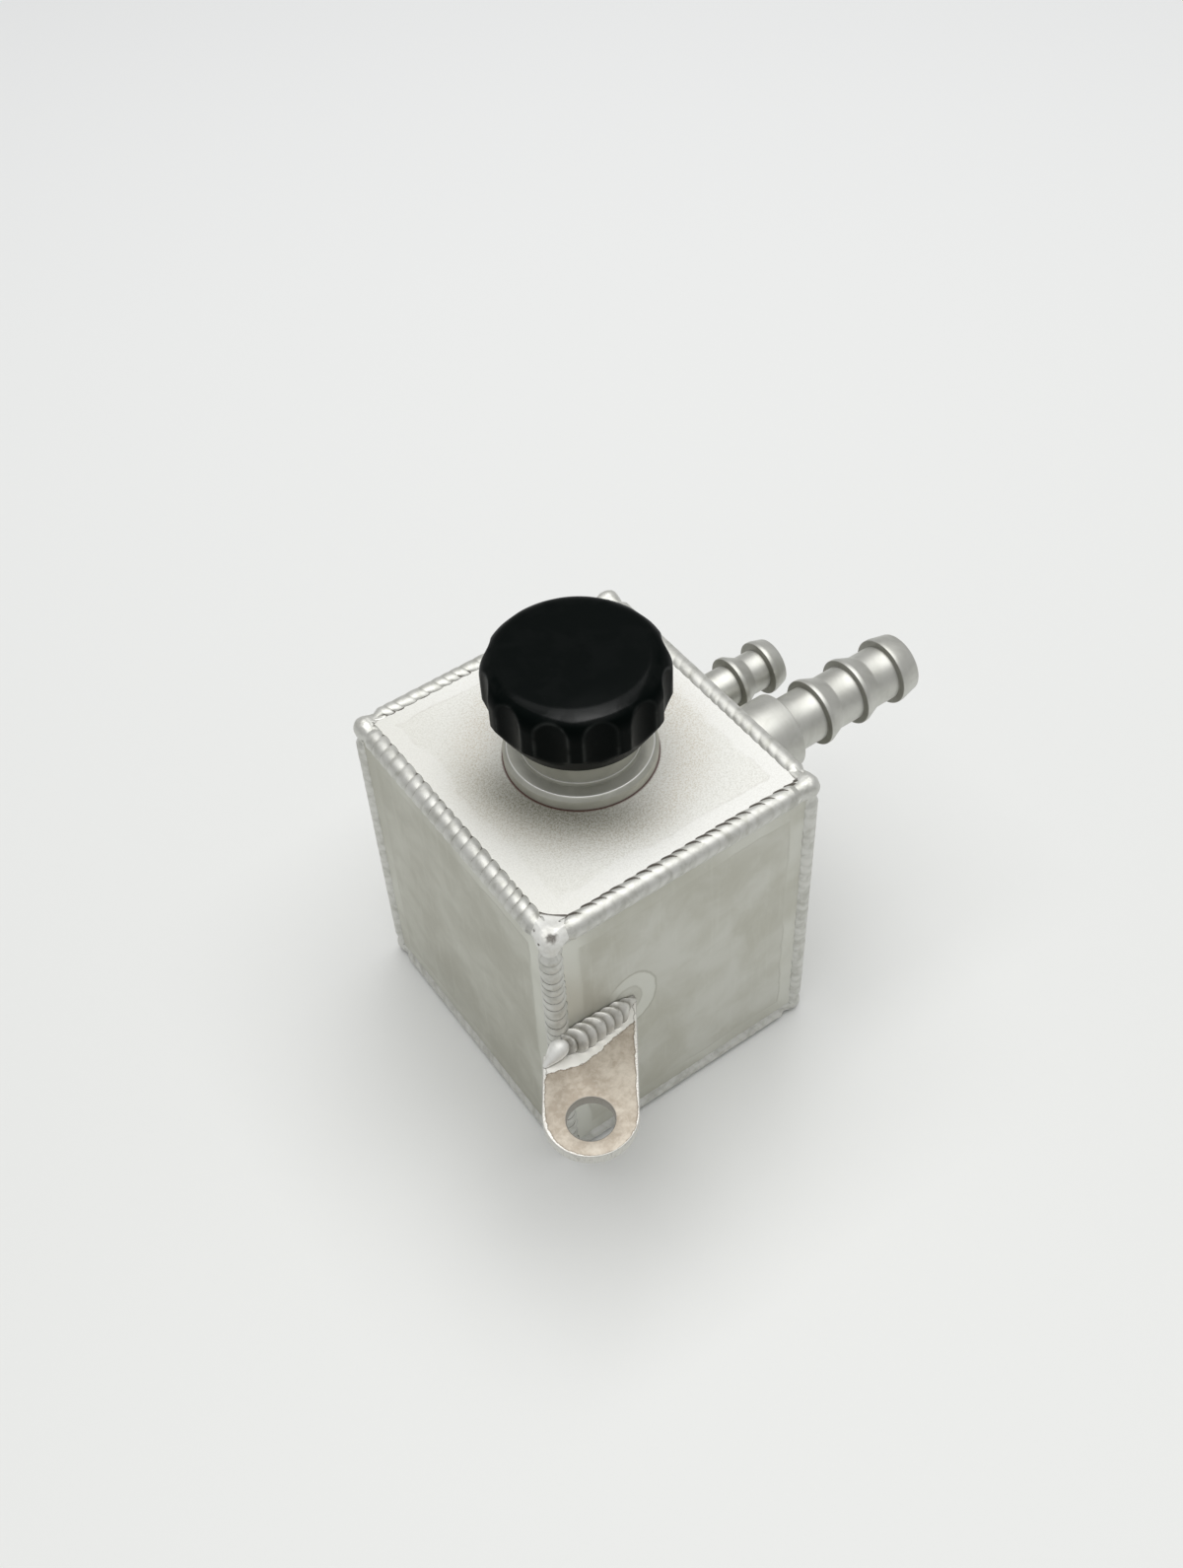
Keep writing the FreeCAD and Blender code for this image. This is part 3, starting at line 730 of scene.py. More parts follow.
class Workshop:
    """Hand tools for one mesh at a time, each a thin layer over Blender's operators."""

    @staticmethod
    def clear() -> None:
        """Leaves nothing selected."""
        bpy.ops.object.select_all(action="DESELECT")

    @staticmethod
    def take(name: str) -> bpy.types.Object:
        """Names the piece that was just added and returns it."""
        piece = bpy.context.object
        piece.name = name
        piece.data.name = name
        return piece

    @staticmethod
    def hold(piece: bpy.types.Object) -> None:
        """Selects that piece alone."""
        Workshop.clear()
        piece.select_set(True)
        bpy.context.view_layer.objects.active = piece

    @staticmethod
    @contextmanager
    def editing() -> Iterator[None]:
        """Opens the active piece for editing, with all of it selected, and closes it after."""
        bpy.ops.object.mode_set(mode="EDIT")
        bpy.ops.mesh.select_all(action="SELECT")
        yield
        bpy.ops.object.mode_set(mode="OBJECT")

    @staticmethod
    def close_up(piece: bpy.types.Object, gap: float = 0.004 * MM) -> None:
        """Merges points that touch and turns every face outwards."""
        Workshop.hold(piece)
        with Workshop.editing():
            bpy.ops.mesh.remove_doubles(threshold=gap)
            bpy.ops.mesh.normals_make_consistent(inside=False)

    @staticmethod
    def shade(piece: bpy.types.Object, angle: float = 40.0) -> None:
        """Shades the piece smooth where its faces meet at less than that many degrees."""
        Workshop.hold(piece)
        bpy.ops.object.shade_smooth_by_angle(angle=math.radians(angle))

    @staticmethod
    def bevel(piece: bpy.types.Object, width: float, steps: int = 2, angle: float = 30.0,
              slot: int = -1) -> None:
        """Rounds the piece's sharp edges with a modifier that is applied.

        Args:
            piece: Piece to be rounded.
            width: Width of the round in metres.
            steps: Faces across the round.
            angle: Least angle in degrees between faces for their edge to be rounded.
            slot: Material slot of the new faces, or -1 for their neighbour's.
        """
        Workshop.hold(piece)
        modifier = piece.modifiers.new("round", "BEVEL")
        modifier.width = width
        modifier.segments = steps
        modifier.limit_method = "ANGLE"
        modifier.angle_limit = math.radians(angle)
        modifier.material = slot
        modifier.use_clamp_overlap = True
        bpy.ops.object.modifier_apply(modifier="round")

    @staticmethod
    def turn(name: str, profile: Sequence[tuple[float, float]], sides: int) -> bpy.types.Object:
        """Makes a turned piece round Z by extruding a ring along a profile.

        Args:
            name: Name of the piece.
            profile: Radius and height of each ring. A closed profile ends where it starts, and a
                radius of 0 closes the piece on its axis.
            sides: Number of sides round the piece.

        Returns:
            The piece, with its outside facing out.
        """
        Workshop.clear()
        radius, height = profile[0]
        bpy.ops.mesh.primitive_circle_add(vertices=sides, radius=radius, location=(0, 0, height))
        piece = Workshop.take(name)
        bpy.ops.object.transform_apply(location=True, rotation=True, scale=True)
        with Workshop.editing():
            for wider, higher in profile[1:]:
                bpy.ops.mesh.extrude_region()
                if wider == 0:
                    bpy.ops.transform.translate(value=(0, 0, higher - height))
                    bpy.ops.mesh.merge(type="CENTER")
                    break
                share = wider / radius
                if abs(share - 1) > 1e-9:
                    centre = (0, 0, height)
                    bpy.ops.transform.resize(value=(share, share, 1), center_override=centre)
                if higher != height:
                    bpy.ops.transform.translate(value=(0, 0, higher - height))
                radius, height = wider, higher
        Workshop.close_up(piece, 0.001 * MM)
        return piece

    @staticmethod
    def lay(piece: bpy.types.Object, matrix: Matrix) -> None:
        """Moves and turns the piece's own points, so that its object stays at the origin."""
        piece.data.transform(matrix)
        piece.data.update()

    @staticmethod
    def form(name: str, rule: Callable[[Vector], Marked], gap: float,
             angle: float) -> bpy.types.Object:
        """Moves the points of the piece that was just added to where a rule puts them.

        Args:
            name: Name of the piece.
            rule: Takes a point and returns its new place, and the film with painted shade and the
                painted valley shade there.
            gap: Points that come nearer than this are merged.
            angle: Least angle in degrees between faces that isn't shaded smooth.

        Returns:
            The piece, closed where its edges meet.
        """
        piece = Workshop.take(name)
        mesh = piece.data
        # Film with painted shade, and painted valley shade, held at each point.
        film_and_shade, valley = (mesh.attributes.new(mark, "FLOAT", "POINT") for mark in ("film_and_shade", "valley"))
        for vertex in mesh.vertices:
            spot, dark, low = rule(vertex.co)
            film_and_shade.data[vertex.index].value = dark
            valley.data[vertex.index].value = low
            vertex.co = spot
        mesh.update()
        Workshop.close_up(piece, gap)
        Workshop.shade(piece, angle)
        return piece

    @staticmethod
    def grid(name: str, along: int, across: int, angle: float,
             rule: Callable[[float, float], Marked]) -> bpy.types.Object:
        """Lays a grid over a surface.

        Args:
            name: Name of the piece.
            along: Number of cells in the first direction.
            across: Number of cells in the second direction.
            angle: Least angle in degrees between faces that isn't shaded smooth.
            rule: Takes two shares between 0 and 1 and returns a place, its film with painted shade
                and its painted valley shade.

        Returns:
            The piece.
        """
        Workshop.clear()
        bpy.ops.mesh.primitive_grid_add(x_subdivisions=along, y_subdivisions=across, size=1.0)

        def place(spot: Vector) -> Marked:
            """What the rule says for a point of the flat grid."""
            return rule(*(min(1.0, max(0.0, part + 0.5)) for part in spot.xy))

        return Workshop.form(name, place, 0.002 * MM, angle)

    @staticmethod
    def ball(name: str, fine: int, angle: float,
             rule: Callable[[Vector], Marked]) -> bpy.types.Object:
        """Shapes a ball.

        Args:
            name: Name of the piece.
            fine: How fine the ball's faces are.
            angle: Least angle in degrees between faces that isn't shaded smooth.
            rule: Takes a direction and returns a place, its film with painted shade and its painted
                valley shade.

        Returns:
            The piece.
        """
        Workshop.clear()
        bpy.ops.mesh.primitive_ico_sphere_add(subdivisions=fine, radius=1.0)
        return Workshop.form(name, lambda spot: rule(spot.normalized()), 0.001 * MM, angle)


def dress(piece: bpy.types.Object, materials: Sequence[bpy.types.Material]) -> None:
    """Gives a piece its materials, in the order of its slots."""
    while len(piece.data.materials) < len(materials):
        piece.data.materials.append(None)
    for index, material in enumerate(materials):
        piece.data.materials[index] = material
        piece.material_slots[index].material = material


def hand_over(piece: bpy.types.Object, body: str, slot: str, *nodes: str) -> None:
    """Ties a finished piece to its body and to what it stands for.

    Args:
        piece: The finished piece.
        body: CAD body that it moves with.
        slot: Material slot of the record that its finish comes from. Not used.
        nodes: CAD nodes that it replaces.
    """
    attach(piece, body)
    if nodes:
        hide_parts(*nodes)
    log.info("%s: %d faces, stands for %s", piece.name, len(piece.data.polygons), nodes or "none")


class Style(Enum):
    """How a seam bead's ripples look."""

    PILLOWS = "pillows"
    HOOKS = "hooks"
    SMILES = "smiles"
    PLAIN = "plain"


@dataclass(frozen=True)
class Seam:
    """One bead along an edge of the tank, welded from start to stop."""

    node: str
    start: Corner
    stop: Corner
    style: Style
    seed: int
    ink: float = 1.0


@dataclass
class RippleRow:
    """Uneven row of ripples along a bead, each a crescent that overlaps the one before."""

    length: float
    pitch: float
    seed: int
    curve: float
    feet: list[float] = field(default_factory=list)
    heights: list[float] = field(default_factory=list)
    inks: list[float] = field(default_factory=list)

    def __post_init__(self) -> None:
        """Sets out the ripples' feet from before the bead's start to past its end."""
        draw = random.Random(self.seed)
        foot = -4 * self.pitch
        while foot < self.length + 5 * self.pitch:
            self.feet.append(foot)
            self.heights.append(draw.uniform(0.45, 1.0))
            self.inks.append(draw.uniform(0.15, 1.0))
            foot += self.pitch * draw.uniform(0.72, 1.3)

    def at(self, along: float, side: float) -> tuple[float, float, float, float]:
        """What the ripples are like at a point of the bead.

        Args:
            along: Distance along the bead.
            side: Place across the bead, from -1 at one toe to 1 at the other.

        Returns:
            Share of the way from one foot to the next, that gap's length, and the height and the
            ink of the ripple.
        """
        where = along - self.curve * (1 - abs(side) ** 2.2)
        low, high = 0, len(self.feet) - 1
        while high - low > 1:
            middle = (low + high) // 2
            if self.feet[middle] <= where:
                low = middle
            else:
                high = middle
        gap = self.feet[low + 1] - self.feet[low]
        share = min(1.0, max(0.0, (where - self.feet[low]) / gap))
        return share, gap, self.heights[low], self.inks[low]


def crescent(share: float) -> float:
    """Height of one ripple from its foot to the next foot, 0 at both and 1 on its crest."""
    return 1 - abs(2 * share ** 0.82 - 1) ** 2.4


@dataclass
class SeamBeads:
    """The twelve rippled beads along the tank's edges."""

    sizes: TankSizes = TANK
    cell: float = 0.17 * MM
    across: int = 44
    toe_angle: float = 93.4
    pitch: float = 2.75 * MM
    seams: tuple[Seam, ...] = (
        Seam("top_left_weld", (-1, 1, 1), (-1, -1, 1), Style.PILLOWS, 3),
        Seam("top_front_weld", (-1, -1, 1), (1, -1, 1), Style.HOOKS, 11),
        Seam("top_right_weld", (1, -1, 1), (1, 1, 1), Style.PLAIN, 7, 0.55),
        Seam("top_back_weld", (1, 1, 1), (-1, 1, 1), Style.PILLOWS, 19),
        Seam("front_left_weld", (-1, -1, 1), (-1, -1, -1), Style.SMILES, 5),
        Seam("front_right_weld", (1, -1, 1), (1, -1, -1), Style.PLAIN, 23, 0.5),
        Seam("back_right_weld", (1, 1, 1), (1, 1, -1), Style.SMILES, 29),
        Seam("back_left_weld", (-1, 1, 1), (-1, 1, -1), Style.PLAIN, 31, 0.5),
        Seam("base_front_weld", (-1, -1, -1), (1, -1, -1), Style.PLAIN, 37, 0.25),
        Seam("base_right_weld", (1, -1, -1), (1, 1, -1), Style.PLAIN, 41, 0.25),
        Seam("base_back_weld", (1, 1, -1), (-1, 1, -1), Style.PLAIN, 43, 0.25),
        Seam("base_left_weld", (-1, 1, -1), (-1, -1, -1), Style.PLAIN, 47, 0.25),
    )

    def corner(self, signs: Corner) -> Vector:
        """Where the centre lines of three beads meet at a corner of the tank."""
        inset = self.sizes.seam_inset
        return Vector((
            signs[0] * (self.sizes.width / 2 - inset),
            signs[1] * (self.sizes.depth / 2 - inset),
            self.sizes.height / 2 + signs[2] * (self.sizes.height / 2 - inset),
        ))

    def outward(self, seam: Seam) -> tuple[Vector, Vector]:
        """The two outward directions of the sheets that a bead joins.

        Args:
            seam: The bead.

        Returns:
            The upper or front direction first, then the other.
        """
        same = [i for i in range(3) if seam.start[i] == seam.stop[i]]
        sides = []
        for axis in sorted(same, reverse=True):
            side = Vector((0, 0, 0))
            side[axis] = seam.start[axis]
            sides.append(side)
        return sides[0], sides[1]

    def build(self, blobs: "CornerBlobs") -> list[bpy.types.Object]:
        """Builds every bead and returns them."""
        return [self.bead(seam, blobs) for seam in self.seams]

    def angle(self, share: float) -> float:
        """Angle round the bead's centre line for a share across the grid, most of it outside."""
        hidden = 0.06
        outside = math.radians(self.toe_angle + 14)
        if share < hidden:
            return -math.pi + (math.pi - outside) * share / hidden
        if share > 1 - hidden:
            return outside + (math.pi - outside) * (share - 1 + hidden) / hidden
        return outside * (2 * (share - hidden) / (1 - 2 * hidden) - 1)

    def bead(self, seam: Seam, blobs: "CornerBlobs") -> bpy.types.Object:
        """Builds one bead, mitred at both ends and drawn in under the corners' blobs.

        Args:
            seam: The bead to be built.
            blobs: Corner blobs that its ends go under.

        Returns:
            The bead's piece.
        """
        start, stop = self.corner(seam.start), self.corner(seam.stop)
        first, second = self.outward(seam)
        length = (stop - start).length
        ahead = (stop - start) / length
        out = (first + second) / math.sqrt(2)
        over = (first - second) / math.sqrt(2)
        radius = self.sizes.seam_radius
        toe = math.radians(self.toe_angle)
        bend = {Style.PILLOWS: 1.5, Style.HOOKS: 3.8, Style.SMILES: 1.3, Style.PLAIN: 1.6}
        row = RippleRow(length, self.pitch, seam.seed, bend[seam.style] * MM)
        drift = Vector((seam.seed * 7.1, seam.seed * 3.3, 0))

        def sink(along: float, turn: float) -> tuple[float, float, float]:
            """How far the surface lies under the crown, its film with painted shade and its painted
            valley shade.
            """
            side = max(-1.0, min(1.0, turn / toe))
            share, gap, high, ink = row.at(along, side)
            deep = 1 - crescent(share) * (0.55 + 0.45 * high)
            near = min(share, 1 - share) * gap
            line = 1 - smooth_step(0.0, 0.17 * MM, near)
            wave = noise.noise(Vector((along / (3.2 * MM), turn * 0.8, 0)) + drift)
            edge = smooth_step(0.62, 1.0, abs(side))
            # Film with painted shade in the grooves between ripples, laid out by style.
            if seam.style is Style.PILLOWS:
                depth = (0.15 + 0.14 * edge) * deep
                wedge = (0.14 + 0.75 * smooth_step(0.6, 0.97, side)) * MM
                film_and_shade = (1 - smooth_step(0.0, wedge, near)) * smooth_step(0.3, 0.7, side) * ink
                film_and_shade = max(film_and_shade, line * (0.25 + 0.4 * ink) * smooth_step(-0.7, -0.1, side))
            elif seam.style is Style.HOOKS:
                depth = (0.06 + 0.3 * edge) * deep
                wedge = (0.3 + 1.7 * smooth_step(0.5, 0.95, side)) * MM
                film_and_shade = (1 - smooth_step(0.3 * wedge, wedge, near)) * smooth_step(0.34, 0.5, side)
                film_and_shade *= 0.7 + 0.3 * ink
                film_and_shade = max(film_and_shade, line * 0.25 * smooth_step(0.4, 0.0, side) * (ink > 0.75))
            elif seam.style is Style.SMILES:
                depth = (0.2 + 0.12 * edge) * deep
                line = 1 - smooth_step(0.02 * MM, 0.2 * MM, near)
                film_and_shade = line * (0.5 + 0.36 * ink) * (1 - smooth_step(0.7, 1.0, abs(side)))
            else:
                depth = (0.05 + 0.12 * edge) * deep
                film_and_shade = line * ink * 0.3 * smooth_step(0.2, 0.8, abs(side))
            calm = smooth_step(0.2 * MM, 2.6 * MM, min(along, length - along))
            film_and_shade *= 0.25 + 0.75 * calm
            depth = depth * (0.3 + 0.7 * calm) * MM + (0.04 + 0.04 * wave) * MM
            # Painted shade with film along the toes, darker on the upper toe.
            fray = noise.noise(Vector((along / (1.3 * MM), side * 2, 5)) + drift)
            rim = 1 - smooth_step(0.02, 0.075, abs(abs(turn / toe) - 0.985 + 0.02 * fray))
            upper = 1.0 if side > 0 else 0.75
            patch = noise.noise(Vector((along / (4 * MM), side, 9)) + drift)
            patch = 0.3 + 0.6 * smooth_step(-0.35, 0.3, patch)
            film_and_shade = max(film_and_shade, rim * patch * upper) * seam.ink
            return depth, film_and_shade, deep * (1 - edge * 0.4)

        def point(u: float, v: float) -> Marked:
            """Where a point of the grid lies, its film with painted shade and its painted valley
            shade.
            """
            turn = self.angle(v)
            aim = out * math.cos(turn) + over * math.sin(turn)
            mitre = min(aim.dot(first), aim.dot(second)) * radius
            along = -mitre + u * (length + 2 * mitre)
            buried = abs(turn) > toe + 0.2
            depth, film_and_shade, valley = (0.25 * MM, 0.6, 1.0) if buried else sink(along, turn)
            spot = start + ahead * along + aim * (radius - depth)
            for signs, middle in ((seam.start, start), (seam.stop, stop)):
                spot = blobs.draw_in(signs, middle, spot)
            return spot, film_and_shade, valley

        name = f"{seam.node.removesuffix('_weld')}_bead"
        return Workshop.grid(name, int(length / self.cell), self.across, 60, point)

    def dress(self, pieces: list[bpy.types.Object], metal: bpy.types.Material) -> None:
        """Gives each bead its metal and hands it over."""
        for seam, piece in zip(self.seams, pieces):
            dress(piece, [metal])
            hand_over(piece, "tank", "weld_bead", seam.node)


@dataclass(frozen=True)
class BlobMark:
    """A crater or a notch in a corner's blob."""

    aim: tuple[float, float, float]
    reach: float
    depth: float
    film_and_shade: float


@dataclass
class CornerBlobs:
    """Weld metal that rounds off the meeting of three beads at each corner of the tank."""

    radius: float = TANK.seam_radius
    blend: float = 0.42 * MM
    flush: float = 0.5 * MM
    proud: float = 0.12 * MM
    level_run: float = 1.4 * MM
    slope: float = 0.13
    longest: float = 4.7 * MM
    lump: float = 0.09 * MM
    webbed: Corner = (-1, -1, 1)
    web_start: float = 2.5 * MM
    web_reach: float = 4.75 * MM
    web_longest: float = 5.9 * MM
    web_rise: float = 0.16 * MM
    web_side: float = 0.5 * MM
    marks: dict = field(default_factory=lambda: {
        (-1, -1, 1): (
            BlobMark((0.02, 0.5, 0.86), 0.95, 0.2, 0.64),
            BlobMark((0.98, 0.02, 0.19), 0.24, 0.25, 0.8),
            BlobMark((0.47, -0.81, 0.35), 0.2, 0.15, 0.6),
        ),
        (1, -1, 1): (
            BlobMark((0.17, -0.78, 0.6), 0.22, 0.5, 1.0),
            BlobMark((0.9, 0.35, 0.25), 0.28, 0.25, 0.4),
        ),
    })

    def span(self, signs: Corner, aim: Vector) -> float:
        """Longest radius that a corner's blob may have in a direction, more along a web."""
        if signs != self.webbed or aim.z < 0:
            return self.longest
        share = smooth_step(0.0, 0.3, min(-aim.x, -aim.y))
        return self.longest + (self.web_longest - self.longest) * share

    def web_gap(self, outer: Vector, sunk: float) -> float:
        """How far a point lies outside the flat web between two beads on the top sheet.

        Args:
            outer: The point from the corner's centre, measured outwards on each axis.
            sunk: How far the whole surface is lowered.

        Returns:
            Distance in metres, below 0 inside.
        """
        inward = -(outer.x + outer.y) / math.sqrt(2)
        share = max(0.0, inward - self.web_start) / (self.web_reach - self.web_start)
        top = TANK.seam_inset + sunk + self.web_rise * (1 - share * share)
        return max(outer.z - top, outer.x - self.web_side, outer.y - self.web_side)

    def gap(self, outer: Vector, sunk: float, web: bool) -> float:
        """How far a point lies outside three rounded bars that run back along the beads.

        Args:
            outer: The point from the corner's centre, measured outwards on each axis.
            sunk: How far the whole surface is lowered.
            web: Whether a flat web closes the bars' inner corner on the top sheet.

        Returns:
            Distance in metres, below 0 inside.
        """
        total = math.exp(-self.web_gap(outer, sunk) / self.blend) if web else 0.0
        for axis in range(3):
            ahead = outer[axis]
            first, second = outer[axis - 1], outer[axis - 2]
            past = max(ahead, 0.0)
            thin = max(0.0, -ahead - self.level_run) * self.slope
            away = math.sqrt(first * first + second * second + past * past)
            total += math.exp((self.radius - thin - away) / self.blend)
        return sunk - self.blend * math.log(total)

    def reach(self, signs: Corner, aim: Vector) -> float:
        """Radius of a corner's blob in an outward direction.

        Args:
            signs: Which corner it is.
            aim: Direction, measured outwards on each axis.

        Returns:
            Radius in metres.
        """
        tight = signs[1] > 0 or signs[2] < 0
        sunk = self.flush if tight else self.flush - self.proud
        web = signs == self.webbed
        low = outermost(
            1.0 * MM, self.span(signs, aim), lambda away: self.gap(aim * away, sunk, web) < 0,
        )
        seed = Vector((signs[0] * 3.7, signs[1] * 5.1, signs[2] * 2.3))
        lumps = noise.noise(aim * 1.7 + seed) + 0.5 * noise.noise(aim * 4.1 + seed)
        result = low - self.lump * (0.6 - lumps)
        for mark in self.marks.get(signs, ()):
            away = (aim - Vector(mark.aim).normalized()).length / mark.reach
            result -= mark.depth * MM * max(0.0, 1 - away * away) ** 1.5
            result += 0.12 * mark.depth * MM * math.exp(-((away - 1.15) / 0.3) ** 2)
        return result

    def draw_in(self, signs: Corner, middle: Vector, spot: Vector) -> Vector:
        """Draws a bead's point in under a corner's blob where it would stand out of it.

        Args:
            signs: Which corner it is.
            middle: Where the beads' centre lines meet.
            spot: The bead's point.

        Returns:
            The point, moved where it has to be.
        """
        outer = mirrored(spot - middle, signs)
        aim = outer.normalized()
        share = smooth_step(-1.9 * MM, -0.5 * MM, sorted(outer)[1])
        if share == 0 or outer.length > self.span(signs, aim):
            return spot
        limit = self.reach(signs, aim) - 0.07 * MM
        if outer.length <= limit:
            return spot
        held = aim * (outer.length + (limit - outer.length) * share)
        return middle + mirrored(held, signs)

    def stain_and_shade(self, signs: Corner, aim: Vector, outer: Vector) -> float:
        """Film and painted shade on a blob: fine wrinkles, the marks' floors and the toes on the
        sheets.

        Args:
            signs: Which corner it is.
            aim: Outward direction of the point.
            outer: The point from the corner's centre, measured outwards.

        Returns:
            Amount between 0 and 1.
        """
        wrinkle = abs(noise.noise(aim * 2.6 + Vector(signs) * 9))
        amount = (1 - smooth_step(0.0, 0.025, wrinkle)) * 0.22
        for mark in self.marks.get(signs, ()):
            off = (aim - Vector(mark.aim).normalized()).length / mark.reach
            amount = max(amount, mark.film_and_shade * (1 - smooth_step(0.25, 1.0, off + 0.5 * wrinkle)))
        # Painted shade along the toes where the blob meets the sheets.
        for axis in range(3):
            others = max(outer[axis - 1], outer[axis - 2])
            if others < -1.0 * MM:
                rim = abs(outer[axis] - TANK.seam_inset - 0.06 * MM)
                if axis == 2 and signs == self.webbed:
                    inward = (outer.x + outer.y) / math.sqrt(2)
                    rim = abs(inward + self.web_reach - 0.12 * MM) * 0.45
                amount = max(amount, 0.85 * (1 - smooth_step(0.06 * MM, 0.36 * MM, rim)))
        return amount

    def build(self, beads: SeamBeads) -> dict:
        """Builds a blob at each of the tank's eight corners and returns them by corner."""
        made = {}
        for signs in ((a, b, c) for c in (1, -1) for b in (-1, 1) for a in (-1, 1)):
            made[signs] = self.blob(signs, beads.corner(signs))
        return made

    def blob(self, signs: Corner, middle: Vector) -> bpy.types.Object:
        """Shapes a ball into one corner's blob.

        Args:
            signs: Which corner it is.
            middle: Where the beads' centre lines meet.

        Returns:
            The blob's piece.
        """
        side = "left" if signs[0] < 0 else "right"
        face = "front" if signs[1] < 0 else "back"
        level = "base" if signs[2] < 0 else "top"

        def point(aim: Vector) -> Marked:
            """Where the blob's surface lies in that direction, its film with painted shade and its
            painted valley shade.
            """
            outer = aim * self.reach(signs, aim)
            film_and_shade = self.stain_and_shade(signs, aim, outer)
            return middle + mirrored(outer, signs), film_and_shade, 0.2 + 0.5 * film_and_shade

        fine = 6 if signs == self.webbed else 5
        return Workshop.ball(f"{level}_{face}_{side}_blob", fine, 80, point)

    def dress(self, pieces: dict, metal: bpy.types.Material, bright: bpy.types.Material) -> None:
        """Gives each blob its metal, the copy with painted light for the webbed one, and hands it
        over.
        """
        for signs, piece in pieces.items():
            dress(piece, [bright if signs == self.webbed else metal])
            hand_over(piece, "tank", "weld_bead")


@dataclass
class RingBead:
    """Fillet of overlapping ripples round a spigot or a barb."""

    name: str
    node: str
    inner: float
    leg: float
    seed: int
    matrix: Matrix

    def build(self, metal: bpy.types.Material) -> bpy.types.Object:
        """Builds the ring bead and hands it over.

        Args:
            metal: Weld metal that it is made of.

        Returns:
            The ring bead's piece.
        """
        around = 2 * math.pi * (self.inner + self.leg / 2)
        count = round(around / (2.3 * MM))
        draw = random.Random(self.seed)
        high = [draw.uniform(0.6, 1.0) for _ in range(count)]

        def ripple(u: float, turn: float) -> float:
            """Height of the ripples there, 0 in a valley and 1 on a crest."""
            side = abs(turn / (math.pi / 4) - 1)
            spot = u * count - 0.5 * (1 - side ** 2)
            return crescent(spot % 1.0) * high[int(spot // 1) % count]

        def point(u: float, v: float) -> Marked:
            """Where a point of the grid lies, its film with painted shade and its painted valley
            shade.
            """
            if v > 0.75:
                back = 2 * (v - 0.75) / 0.25 - 1
                out = self.inner + self.leg * max(0.0, back)
                lift = self.leg * max(0.0, -back)
                film_and_shade, low = 0.3, 1.0
            else:
                turn = v / 0.75 * math.pi / 2
                crest = ripple(u, turn)
                size = self.leg * (0.86 + 0.14 * crest)
                bow = 0.80 + 0.20 * abs(math.cos(2 * turn))
                out = self.inner + size * bow * math.cos(turn)
                lift = size * bow * math.sin(turn)
                toe = 1 - smooth_step(0.0, 0.1, min(turn, math.pi / 2 - turn))
                low = 1 - crest
                # Film with painted shade in the ripples' valleys and along the toes.
                film_and_shade = max(smooth_step(0.7, 1.0, low) * 0.7, toe * 0.6)
            swing = 2 * math.pi * u
            return Vector((out * math.cos(swing), out * math.sin(swing), lift)), film_and_shade, low

        piece = Workshop.grid(self.name, count * 14, 24, 50, point)
        Workshop.lay(piece, self.matrix)
        dress(piece, [metal])
        hand_over(piece, "tank", "weld_bead", self.node)
        return piece


@dataclass
class TabSizes:
    """Sizes of the mounting tab's bead and of the blob at its start."""

    top: float = 42.0 * MM
    face: float = -34.25 * MM
    left: float = -31.75 * MM
    start: float = 0.9 * MM
    stop: float = 18.6 * MM
    crest: float = 4.3 * MM
    valley: float = 3.55 * MM
    ripples: int = 8
    edge_round: float = 0.28 * MM


